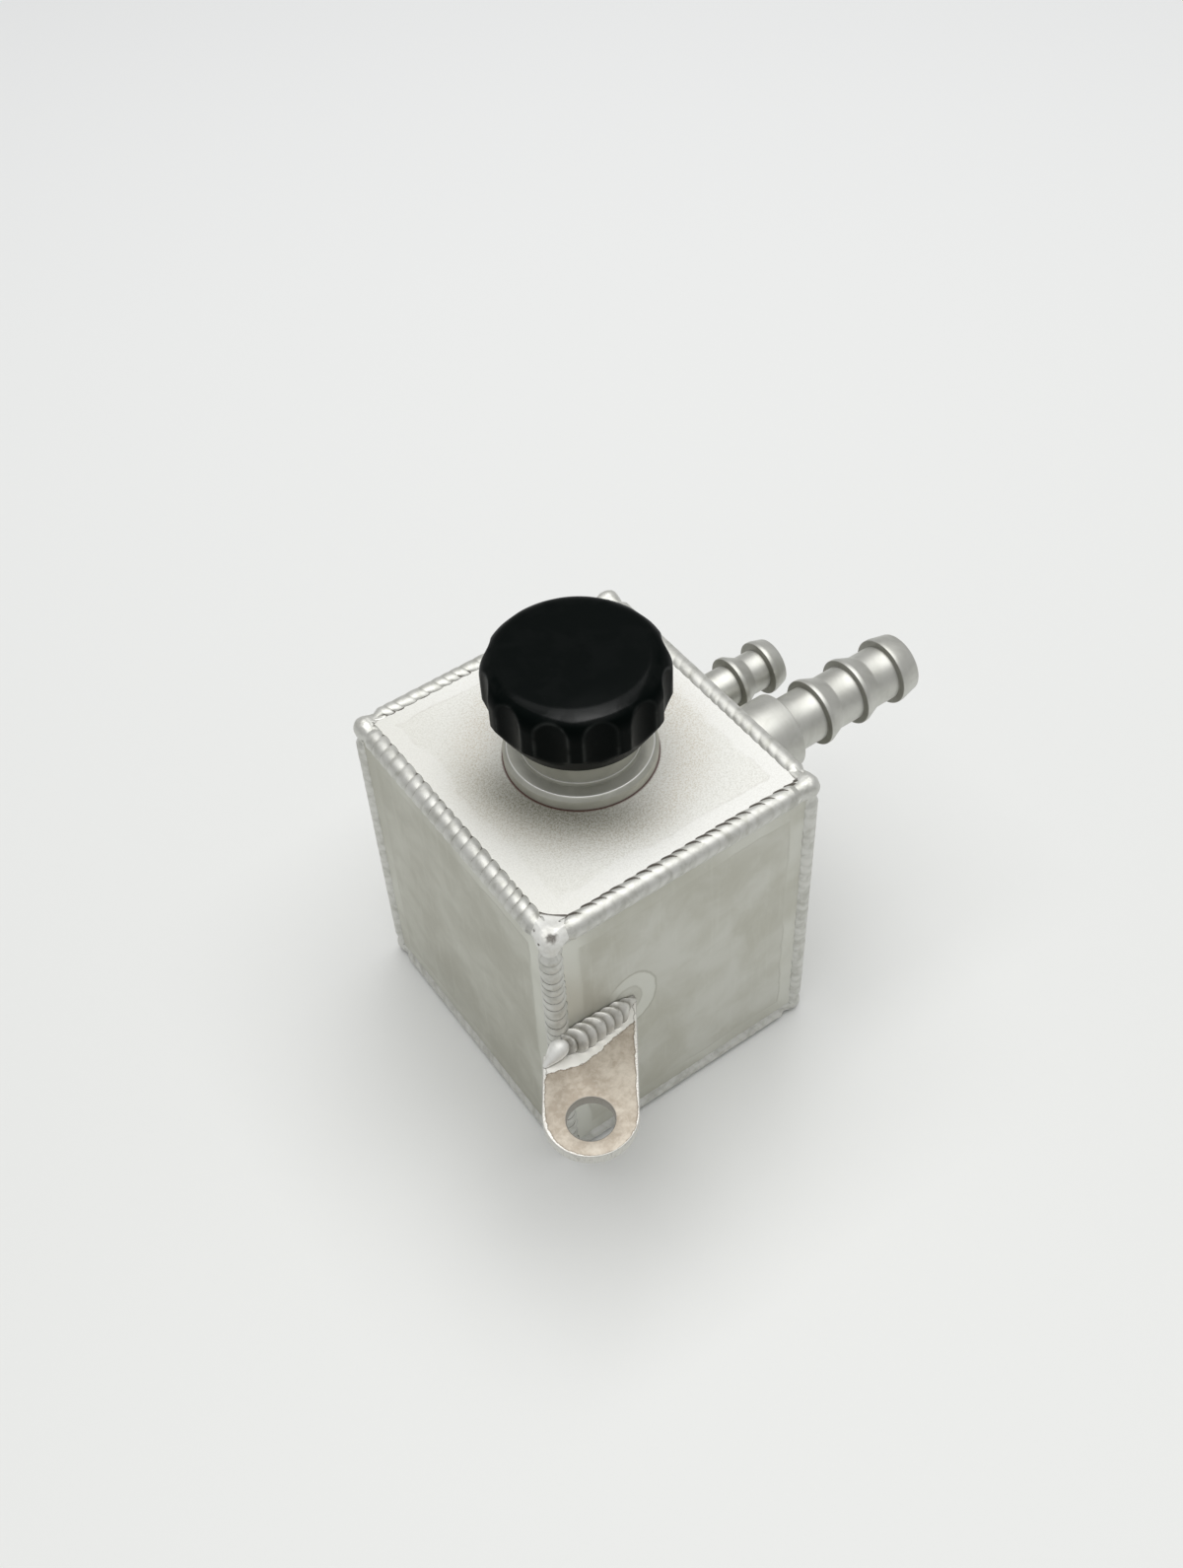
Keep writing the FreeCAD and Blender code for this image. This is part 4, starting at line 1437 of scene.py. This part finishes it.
@dataclass
class MountTab:
    """The skewed mounting tab with its rippled bead and the blob that folds round the corner."""

    sizes: TabSizes = field(default_factory=TabSizes)

    def build_plate(self, flat: bpy.types.Material, edge: bpy.types.Material) -> bpy.types.Object:
        """Rounds and frays the edges of a copy of the tab's solid, and hands it over.

        Args:
            flat: Material of the flat faces.
            edge: Material of the cut edges.

        Returns:
            The tab's piece.
        """
        Workshop.clear()
        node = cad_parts["mount_tab"]
        piece = bpy.data.objects.new("tab_plate", node.data.copy())
        bpy.context.scene.collection.objects.link(piece)
        piece.matrix_world = Matrix.Identity(4)
        Workshop.close_up(piece, 0.002 * MM)
        with Workshop.editing():
            bpy.ops.mesh.dissolve_limited(angle_limit=math.radians(2))
        piece.data.materials.clear()
        dress(piece, [flat, edge])
        for polygon in piece.data.polygons:
            polygon.material_index = 0 if abs(polygon.normal.z) > 0.9 else 1
        Workshop.bevel(piece, self.sizes.edge_round, 3, 40, 1)
        Workshop.shade(piece, 30)
        hand_over(piece, "tank", "tab_metal", "mount_tab")
        return piece

    def build_bead(self, metal: bpy.types.Material) -> bpy.types.Object:
        """Builds the stacked crescents of the bead above the tab, with the blob at their start.

        Args:
            metal: Weld metal that they are made of.

        Returns:
            The bead's piece.
        """
        sizes = self.sizes
        length = sizes.stop - sizes.start
        pitch = length / sizes.ripples
        draw = random.Random(8)
        wide = [draw.uniform(0.86, 1.14) for _ in range(sizes.ripples)]
        scale = sizes.ripples / sum(wide)
        feet = [0.0]
        for width in wide:
            feet.append(feet[-1] + width * scale * pitch)

        def ripple(along: float, side: float) -> tuple[float, int, float]:
            """Share of the way across a ripple, its number and its length."""
            lag = 3.0 if side > 0 else 1.1
            where = along + lag * MM * (1 - (1 - side * side) ** 0.5) - 0.2 * MM
            index = max(i for i, foot in enumerate(feet[:-1]) if foot <= max(where, 0.0))
            gap = feet[index + 1] - feet[index]
            return min(1.0, max(0.0, (where - feet[index]) / gap)), index, gap

        def size_at(u: float, v: float) -> tuple[float, float, float]:
            """Radius of the bead, its film with painted shade and its painted valley shade."""
            along = u * length
            side = 2 * v - 1
            share, index, gap = ripple(along, side)
            top = sizes.crest * (1 - 0.3 * (along / length) ** 1.5)
            crown = 0.62
            if share < crown:
                rise = (share / crown) ** 0.55
            else:
                rise = 1 - ((share - crown) / 0.38) ** 2.2
            deep = (sizes.crest - sizes.valley) * (0.85 if index else 1.0)
            radius = top - deep * (1 - rise)
            near = min(share, 1 - share) * gap
            line = 1 - smooth_step(0.0, 0.24 * MM, near)
            hollow = math.exp(-((along - 0.4 * MM) / (1.5 * MM)) ** 2)
            hollow *= smooth_step(-0.9, -0.2, -side)
            radius -= 1.3 * MM * hollow
            closing = smooth_step(0.72, 1.0, u)
            radius *= 1 - (0.82 - 0.5 * v) * closing
            toe = smooth_step(0.88, 0.985, abs(side))
            # Film with painted shade in the grooves between ripples, in the hollow at the start and
            # along the toes.
            film_and_shade = max(line * 0.42 * (1 - 0.5 * toe), hollow * 0.5, toe * 0.45)
            return radius, film_and_shade, (1 - rise) * 0.7 + 0.3 * (1 - share)

        def point(u: float, v: float) -> Marked:
            """Where a point of the grid lies, its film with painted shade and its painted valley
            shade.
            """
            if v <= 0.8:
                turn = (v / 0.8) * math.pi / 2
                radius, film_and_shade, valley = size_at(u, v / 0.8)
            else:
                turn = (1 - (v - 0.8) / 0.2) * math.pi / 2
                radius, film_and_shade, valley = 0.3 * MM, 0.5, 1.0
            along = sizes.start + u * length
            spot = Vector((
                sizes.left + along,
                sizes.face - radius * math.cos(turn),
                sizes.top + radius * math.sin(turn),
            ))
            return spot, film_and_shade, valley

        piece = Workshop.grid("tab_bead", 190, 60, 60, point)
        dress(piece, [metal])
        hand_over(piece, "tank", "weld_bead", "tab_weld")
        return piece

    def build_blob(self, metal: bpy.types.Material) -> bpy.types.Object:
        """Shapes a ball into the bright fold of metal at the bead's start.

        Args:
            metal: Weld metal that it is made of.

        Returns:
            The blob's piece.
        """
        head = Vector((-31.75, -35.6, 43.8)) * MM
        tip = Vector((-36.1, -36.5, 42.0)) * MM
        middle = head.lerp(tip, 0.42)
        balls = [(head.lerp(tip, share), (1.95 - 1.6 * share ** 1.15) * MM)
                 for share in (0.0, 0.15, 0.3, 0.45, 0.6, 0.75, 0.9, 1.0)]
        lip = (tip - head).cross(Vector((0, 0, 1))).normalized()

        def inside(spot: Vector) -> bool:
            """Whether a point lies inside the row of balls, which flow into each other."""
            total = sum(math.exp((size - (spot - ball).length) / (0.3 * MM))
                        for ball, size in balls)
            return total > 1.9

        def point(aim: Vector) -> Marked:
            """Where the blob's surface lies in that direction, its film with painted shade and its
            painted valley shade.
            """
            reach = outermost(0.2 * MM, 6 * MM, lambda away: inside(middle + aim * away))
            spot = middle + aim * reach
            fold = math.exp(-((aim.dot(lip) - 0.5 * aim.z - 0.25) / 0.1) ** 2)
            fold *= smooth_step(0.0, 0.3, aim.z + 0.3 * aim.dot(lip))
            toe = 1 - smooth_step(0.05 * MM, 0.35 * MM, spot.z - self.sizes.top)
            # Painted shade with film in the fold and along the toe.
            return spot - aim * (0.28 * MM * fold), max(0.4 * fold, 0.6 * toe), 0.3 * fold

        piece = Workshop.ball("tab_bead_blob", 5, 60, point)
        dress(piece, [metal])
        hand_over(piece, "tank", "weld_bead")
        return piece


def thread_depth(phase: float) -> float:
    """Depth of a rounded screw thread, 0 on its crest and 1 in its root, once per turn."""
    share = phase % 1.0
    return smooth_step(0.18, 0.42, share) - smooth_step(0.62, 0.86, share)


@dataclass
class FillerNeck:
    """Turned neck with a flange on the top sheet and a screw thread under the cap."""

    base: float = 76.0 * MM
    radius: float = 12.0 * MM
    bore: float = 8.5 * MM
    spigot: float = 10.5 * MM
    spigot_end: float = -5.0 * MM
    flange: float = 15.3 * MM
    flange_thick: float = 3.1 * MM
    bevel: float = 0.9 * MM
    rise: float = 21.0 * MM
    thread_start: float = 12.4 * MM
    thread_stop: float = 20.2 * MM
    thread_pitch: float = 3.0 * MM
    thread_deep: float = 0.55 * MM
    sides: int = 160

    def build(self, metal: bpy.types.Material) -> bpy.types.Object:
        """Turns the neck, cuts its thread and hands it over.

        Args:
            metal: Turned metal that it is made of.

        Returns:
            The neck's piece.
        """
        nick = 0.14 * MM
        thick = self.flange_thick
        profile = [
            (self.bore, self.spigot_end + nick), (self.bore + nick, self.spigot_end),
            (self.spigot - nick, self.spigot_end), (self.spigot, self.spigot_end + nick),
            (self.spigot, 0.0), (self.flange - nick, 0.0), (self.flange, nick),
            (self.flange, thick - self.bevel), (self.flange - 0.07 * MM, thick - self.bevel + nick),
            (self.flange - self.bevel + nick, thick - 0.07 * MM), (self.flange - self.bevel, thick),
            (self.radius + 0.3 * MM, thick), (self.radius + 0.08 * MM, thick + 0.08 * MM),
            (self.radius, thick + 0.95 * MM), (self.radius - 0.05 * MM, thick + 1.03 * MM),
            (self.radius - 0.22 * MM, thick + 1.07 * MM), (self.radius - 0.22 * MM, 9.4 * MM),
            (self.radius, 9.8 * MM), (self.radius, 11.6 * MM),
        ]
        rings = 52
        low, high = self.thread_start - 0.6 * MM, self.rise - 0.4 * MM
        profile += [(self.radius, low + at / rings * (high - low)) for at in range(rings + 1)]
        profile += [
            (self.radius - 0.35 * MM, self.rise), (self.bore + nick, self.rise),
            (self.bore, self.rise - nick), (self.bore, self.spigot_end + nick),
        ]
        piece = Workshop.turn("turned_neck", profile, self.sides)
        for vertex in piece.data.vertices:
            spot = vertex.co
            across = math.hypot(spot.x, spot.y)
            if across < self.radius - 0.02 * MM or not 10 * MM <= spot.z <= self.rise - 0.2 * MM:
                continue
            turn = math.atan2(spot.y, spot.x) / (2 * math.pi)
            fade = smooth_step(self.thread_start - 0.8 * MM, self.thread_start, spot.z)
            fade *= 1 - smooth_step(self.thread_stop, self.rise - 0.3 * MM, spot.z) * 0.6
            cut = self.thread_deep * fade * thread_depth(spot.z / self.thread_pitch - turn)
            push(spot, across, across - cut)
        piece.data.update()
        Workshop.shade(piece, 32)
        Workshop.lay(piece, Matrix.Translation((0, 0, self.base)))
        dress(piece, [metal])
        hand_over(piece, "tank", "turned_metal", "filler_neck")
        return piece


@dataclass
class FlutedCap:
    """Black screw cap with a domed shoulder and twelve finger flutes."""

    foot: float = 86.6 * MM
    foot_radius: float = 14.7 * MM
    radius: float = 18.05 * MM
    taper: float = 6.0 * MM
    tall: float = 16.1 * MM
    shoulder: float = 4.3 * MM
    bore: float = 12.07 * MM
    ceiling: float = 12.1 * MM
    flutes: int = 12
    flute_centre: float = 23.7 * MM
    flute_radius: float = 6.8 * MM
    flute_angle: float = 9.7
    soft: float = 0.16 * MM
    sides: int = 360

    def profile(self) -> list[tuple[float, float]]:
        """Rings of the cap from its foot over the outside, the top and the bore.

        Returns:
            Radius and height above the foot of each ring.
        """
        lip = 0.28 * MM
        rings = [(self.bore + 0.25 * MM, 0.0), (self.foot_radius - 0.3 * MM, 0.0),
                 (self.foot_radius - 0.09 * MM, 0.07 * MM), (self.foot_radius, lip)]
        steps, bends = 22, 25
        for index in range(1, steps + 1):
            share = index / steps
            rings.append((
                self.foot_radius + (self.radius - self.foot_radius) * share,
                lip + (self.taper - lip) * share,
            ))
        top = self.tall - self.shoulder
        for index in range(1, steps + 1):
            rings.append((self.radius, self.taper + (top - self.taper) * index / steps))
        for index in range(1, bends):
            turn = math.pi / 2 * index / bends
            rings.append((
                self.radius - self.shoulder * (1 - math.cos(turn)),
                top + self.shoulder * math.sin(turn),
            ))
        rings += [(self.radius - self.shoulder - 0.35 * MM, self.tall),
                  (9.0 * MM, self.tall), (4.5 * MM, self.tall), (0.0, self.tall)]
        return rings

    def inside(self) -> list[tuple[float, float]]:
        """Rings of the bore from its mouth to the middle of the ceiling."""
        rings = [(self.bore + 0.25 * MM, 0.0), (self.bore, 0.25 * MM)]
        steps = 45
        for index in range(1, steps + 1):
            rings.append((self.bore, 0.25 * MM + (self.ceiling - 0.5 * MM) * index / steps))
        rings += [(self.bore, self.ceiling), (6 * MM, self.ceiling), (0.0, self.ceiling)]
        return rings

    def flute_reach(self, turn: float) -> float:
        """Distance from the cap's axis to the flutes' wall in a direction in degrees."""
        step = 360 / self.flutes
        off = math.radians((turn - self.flute_angle + step / 2) % step - step / 2)
        inside = self.flute_radius ** 2 - (self.flute_centre * math.sin(off)) ** 2
        if inside <= 0:
            return 2 * self.radius
        return self.flute_centre * math.cos(off) - math.sqrt(inside)

    def build(self, plastic: bpy.types.Material) -> bpy.types.Object:
        """Turns the cap, presses its flutes in and hands it over.

        Args:
            plastic: Black plastic that it is made of.

        Returns:
            The cap's piece.
        """
        outside = Workshop.turn("cap_shell", self.profile(), self.sides)
        edge = outside.data.attributes.new("edge", "FLOAT", "POINT")
        for vertex in outside.data.vertices:
            spot = vertex.co
            across = math.hypot(spot.x, spot.y)
            if across < self.bore + 0.3 * MM:
                continue
            wall = self.flute_reach(math.degrees(math.atan2(spot.y, spot.x)))
            if wall > across + 2 * MM:
                continue
            edge.data[vertex.index].value = math.exp(-((across - wall) / (0.22 * MM)) ** 2)
            gap = (across - wall) / self.soft
            held = across - self.soft * (math.log1p(math.exp(gap)) if gap < 30 else gap)
            push(spot, across, held)
        inner = Workshop.turn("cap_bore", self.inside(), self.sides)
        for vertex in inner.data.vertices:
            spot = vertex.co
            across = math.hypot(spot.x, spot.y)
            if across < self.bore - 0.02 * MM or not 0.4 * MM <= spot.z <= 10.3 * MM:
                continue
            turn = math.atan2(spot.y, spot.x) / (2 * math.pi)
            fade = smooth_step(0.5 * MM, 1.4 * MM, spot.z)
            fade *= 1 - smooth_step(8.8 * MM, 10 * MM, spot.z)
            height = (spot.z + self.foot - FillerNeck.base) / FillerNeck.thread_pitch
            cut = 0.5 * MM * fade * (1 - thread_depth(height - turn))
            push(spot, across, across + cut)
        Workshop.hold(outside)
        inner.select_set(True)
        bpy.ops.object.join()
        piece = Workshop.take("fluted_cap")
        Workshop.close_up(piece, 0.001 * MM)
        Workshop.shade(piece, 34)
        Workshop.lay(piece, Matrix.Translation((0, 0, self.foot)))
        dress(piece, [plastic])
        hand_over(piece, "cap", "cap_plastic", "cap")
        return piece


@dataclass
class CapSeal:
    """Flat rubber washer with rounded edges, between the neck's rim and the cap."""

    inner: float = 8.5 * MM
    outer: float = 11.97 * MM
    base: float = 97.1 * MM
    thick: float = 1.5 * MM

    def build(self, rubber: bpy.types.Material) -> bpy.types.Object:
        """Turns the washer, rounds it and hands it over."""
        profile = [(self.inner, 0.0), (self.outer, 0.0), (self.outer, self.thick),
                   (self.inner, self.thick), (self.inner, 0.0)]
        piece = Workshop.turn("seal_washer", profile, 96)
        Workshop.bevel(piece, 0.25 * MM, 3)
        Workshop.shade(piece)
        Workshop.lay(piece, Matrix.Translation((0, 0, self.base)))
        dress(piece, [rubber])
        hand_over(piece, "seal", "seal_rubber", "cap_seal")
        return piece


@dataclass
class HoseBarb:
    """Turned hose barb: a foot on the tank, then ridges that step towards the tank."""

    name: str
    node: str
    side: float
    shank: float
    bore: float
    step: float
    end_step: float
    first: float
    pitch: float
    taper: float
    tip: float
    ridges: int
    boss: float = 0.0
    boss_length: float = 0.0
    land: float = 1.0 * MM
    base: float = 31.75 * MM
    lift: float = 60.0 * MM

    def profile(self) -> list[tuple[float, float]]:
        """Rings of the barb, closed through its bore.

        Returns:
            Radius and distance from the tank's side of each ring.
        """
        rings = [(self.bore, 0.0)]
        if self.boss:
            rings += [(self.boss, 0.0), (self.boss, self.boss_length),
                      (self.shank, self.boss_length)]
        else:
            rings.append((self.shank, 0.0))
        ridge = self.shank + self.step
        for index in range(self.ridges):
            at = self.first + self.pitch * index
            rings += [(self.shank, at), (ridge, at), (ridge, at + self.land)]
            if index < self.ridges - 1:
                rings.append((self.shank, at + self.land + self.taper))
        end = at + self.tip
        return rings + [(self.shank + self.end_step, end), (self.bore, end), (self.bore, 0.0)]

    def creases(self) -> tuple[float, ...]:
        """X of the feet of the boss and of the ridges, where shade is painted in the creases."""
        feet = [self.first + self.pitch * index - 0.1 * MM for index in range(self.ridges)]
        if self.boss:
            feet.append(self.boss_length + 0.15 * MM)
        return tuple(self.base + foot for foot in feet)

    def matrix(self) -> Matrix:
        """Lays the barb's axis along X at its place on the right side."""
        turn = Matrix.Rotation(math.radians(90), 4, "Y")
        return Matrix.Translation((self.base, self.side, self.lift)) @ turn

    def build(self, metal: bpy.types.Material) -> bpy.types.Object:
        """Turns the barb, breaks its edges and hands it over.

        Args:
            metal: Turned metal that it is made of.

        Returns:
            The barb's piece.
        """
        piece = Workshop.turn(self.name, self.profile(), 128)
        Workshop.bevel(piece, 0.2 * MM, 3, 12)
        Workshop.shade(piece, 36)
        Workshop.lay(piece, self.matrix())
        dress(piece, [metal])
        hand_over(piece, "tank", "blasted_metal", self.node)
        return piece


class TankSheets:
    """The six flat sheets of the tank, which keep their CAD shapes."""

    def dress(self) -> None:
        """Gives each sheet its finish."""
        # Painted shade: the left and right sheets get a darker copy of the sheet finish, so the
        # left side reads darker.
        sides = SheetFinish(
            Facing.ALONG_X, base=tone(203, 203, 193), dark=tone(182, 181, 169),
            band=tone(220, 221, 212),
        ).material()
        back = SheetFinish(Facing.ALONG_Y).material()
        front = SheetFinish(Facing.ALONG_Y, tab_halo=True).material()
        base = SheetFinish(Facing.UP).material()
        wanted = {
            "top_plate": BlastedFinish().material(), "base_plate": base, "front_plate": front,
            "back_plate": back, "left_plate": sides, "right_plate": sides,
        }
        for name, material in wanted.items():
            dress(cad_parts[name], [material])
            log.info("%s: dressed", name)


@dataclass
class Studio:
    """Pale floor, soft light and the camera at the photograph's angle."""

    turn: float = 32.8754
    tilt: float = 49.1275
    roll: float = -3.3555
    eye: tuple[float, float, float] = (-121.64 * MM, -191.28 * MM, 327.81 * MM)
    focal_pixels: float = 1756.2
    frame_pixels: float = 1590.0
    sensor: float = 36.0
    floor_size: float = 6.0
    lamp_size: float = 1.2
    lamp_place: tuple[float, float, float] = (0.1, 0.05, 1.1)
    lamp_power: float = 11.3
    world: float = 0.37

    def floor(self) -> bpy.types.Object:
        """Lays the floor under the tank's beads and returns it."""
        Workshop.clear()
        bpy.ops.mesh.primitive_plane_add(size=self.floor_size, location=(0, 0, -TANK.floor_drop))
        piece = Workshop.take("floor")
        bpy.ops.object.transform_apply(location=True, rotation=True, scale=True)
        dress(piece, [FloorFinish().material()])
        return piece

    def light(self) -> None:
        """Hangs one wide soft lamp over the object and sets an even world."""
        data = bpy.data.lights.new("soft_box", "AREA")
        data.shape = "SQUARE"
        data.size = self.lamp_size
        data.energy = self.lamp_power
        lamp = bpy.data.objects.new("soft_box", data)
        lamp.location = self.lamp_place
        bpy.context.scene.collection.objects.link(lamp)
        world = bpy.data.worlds.new("even_light")
        bpy.context.scene.world = world
        world.use_nodes = True
        sky = world.node_tree.nodes["Background"]
        sky.inputs["Color"].default_value = (1.0, 1.0, 1.0, 1.0)
        sky.inputs["Strength"].default_value = self.world

    def camera(self) -> bpy.types.Object:
        """Sets the camera where the photograph was taken from and returns it."""
        turn, tilt, roll = (math.radians(a) for a in (self.turn, self.tilt, self.roll))
        ahead = Vector((
            math.sin(turn) * math.cos(tilt), math.cos(turn) * math.cos(tilt), -math.sin(tilt),
        ))
        level = Vector((math.cos(turn), -math.sin(turn), 0))
        above = level.cross(ahead)
        side = level * math.cos(roll) + above * math.sin(roll)
        top = above * math.cos(roll) - level * math.sin(roll)
        data = bpy.data.cameras.new("camera")
        data.sensor_fit = "VERTICAL"
        data.sensor_height = self.sensor
        data.sensor_width = self.sensor
        data.lens = self.focal_pixels / self.frame_pixels * self.sensor
        data.clip_start, data.clip_end = 0.01, 20.0
        camera = bpy.data.objects.new("camera", data)
        bpy.context.scene.collection.objects.link(camera)
        axes = Matrix((side, top, -ahead)).transposed().to_4x4()
        camera.matrix_world = Matrix.Translation(self.eye) @ axes
        bpy.context.scene.camera = camera
        bpy.context.scene.view_settings.view_transform = "Standard"
        return camera


def main() -> None:
    """Builds the studio, the sheets, the beads and the fittings in order."""
    logging.basicConfig(level=logging.INFO, format="%(name)s: %(message)s")
    studio = Studio()
    studio.camera()
    studio.light()
    studio.floor()
    TankSheets().dress()
    weld = WeldFinish().material()
    # A lighter, more matte copy of the weld metal: its lighter base is painted light on the front
    # left top corner blob and on the tab's blob.
    bright = WeldFinish(
        "lit_weld_metal", base=tone(240, 240, 236), shade=tone(212, 211, 203), metal=0.4,
        roughness=0.5,
    ).material()
    beads = SeamBeads()
    blobs = CornerBlobs()
    beads.dress(beads.build(blobs), weld)
    blobs.dress(blobs.build(beads), weld, bright)
    tab = MountTab()
    tab.build_plate(MillFinish().material(), CutEdgeFinish().material())
    # The tab bead's weld metal, with painted light on the crests and stronger painted shade in the
    # valleys.
    stacked = WeldFinish(
        "stacked_weld_metal", base=tone(236, 235, 229), shade=tone(140, 137, 125),
        valley_shade_share=0.75,
    )
    tab.build_bead(stacked.material())
    tab.build_blob(bright)
    # The neck's metal, with painted highlights along the flange's bevel and the neck's step above
    # it.
    neck_metal = TurnedFinish(
        "turned_neck_metal", Spin.UPRIGHT, base=tone(196, 196, 186), shade=tone(176, 176, 165),
        roughness=0.34, highlight_edges=(64.6 * MM, 68.2 * MM),
    ).material()
    FillerNeck().build(neck_metal)
    FlutedCap().build(CapFinish().material())
    CapSeal().build(RubberFinish().material())
    feed = HoseBarb(
        "feed_hose_barb", "feed_barb", -8.4 * MM, shank=6.1 * MM, bore=4.6 * MM, step=1.35 * MM,
        end_step=0.5 * MM, first=20.4 * MM, pitch=9.9 * MM, taper=3.4 * MM, tip=5.0 * MM,
        ridges=3, boss=8.4 * MM, boss_length=12.4 * MM,
    )
    back = HoseBarb(
        "return_hose_barb", "return_barb", 8.4 * MM, shank=4.5 * MM, bore=3.2 * MM,
        step=1.55 * MM, end_step=0.75 * MM, first=12.2 * MM, pitch=7.9 * MM, taper=2.8 * MM,
        tip=3.7 * MM, ridges=2,
    )
    for barb in (feed, back):
        metal = TurnedFinish(
            f"{barb.name}_metal", Spin.SIDEWAYS, centre=(barb.side, barb.lift), roughness=0.38,
            metal=0.8, creases=barb.creases(),
        )
        barb.build(metal.material())
    flip = Matrix.Translation((0, 0, 73.0 * MM)) @ Matrix.Rotation(math.pi, 4, "X")
    RingBead("neck_ring_bead", "neck_weld", 10.53 * MM, 1.75 * MM, 2, flip).build(weld)
    RingBead("feed_ring_bead", "feed_barb_weld", 8.43 * MM, 1.8 * MM, 4, feed.matrix()).build(weld)
    RingBead("return_ring_bead", "return_barb_weld", 4.53 * MM, 1.8 * MM, 6,
             back.matrix()).build(weld)


if __name__ == "__main__":
    main()
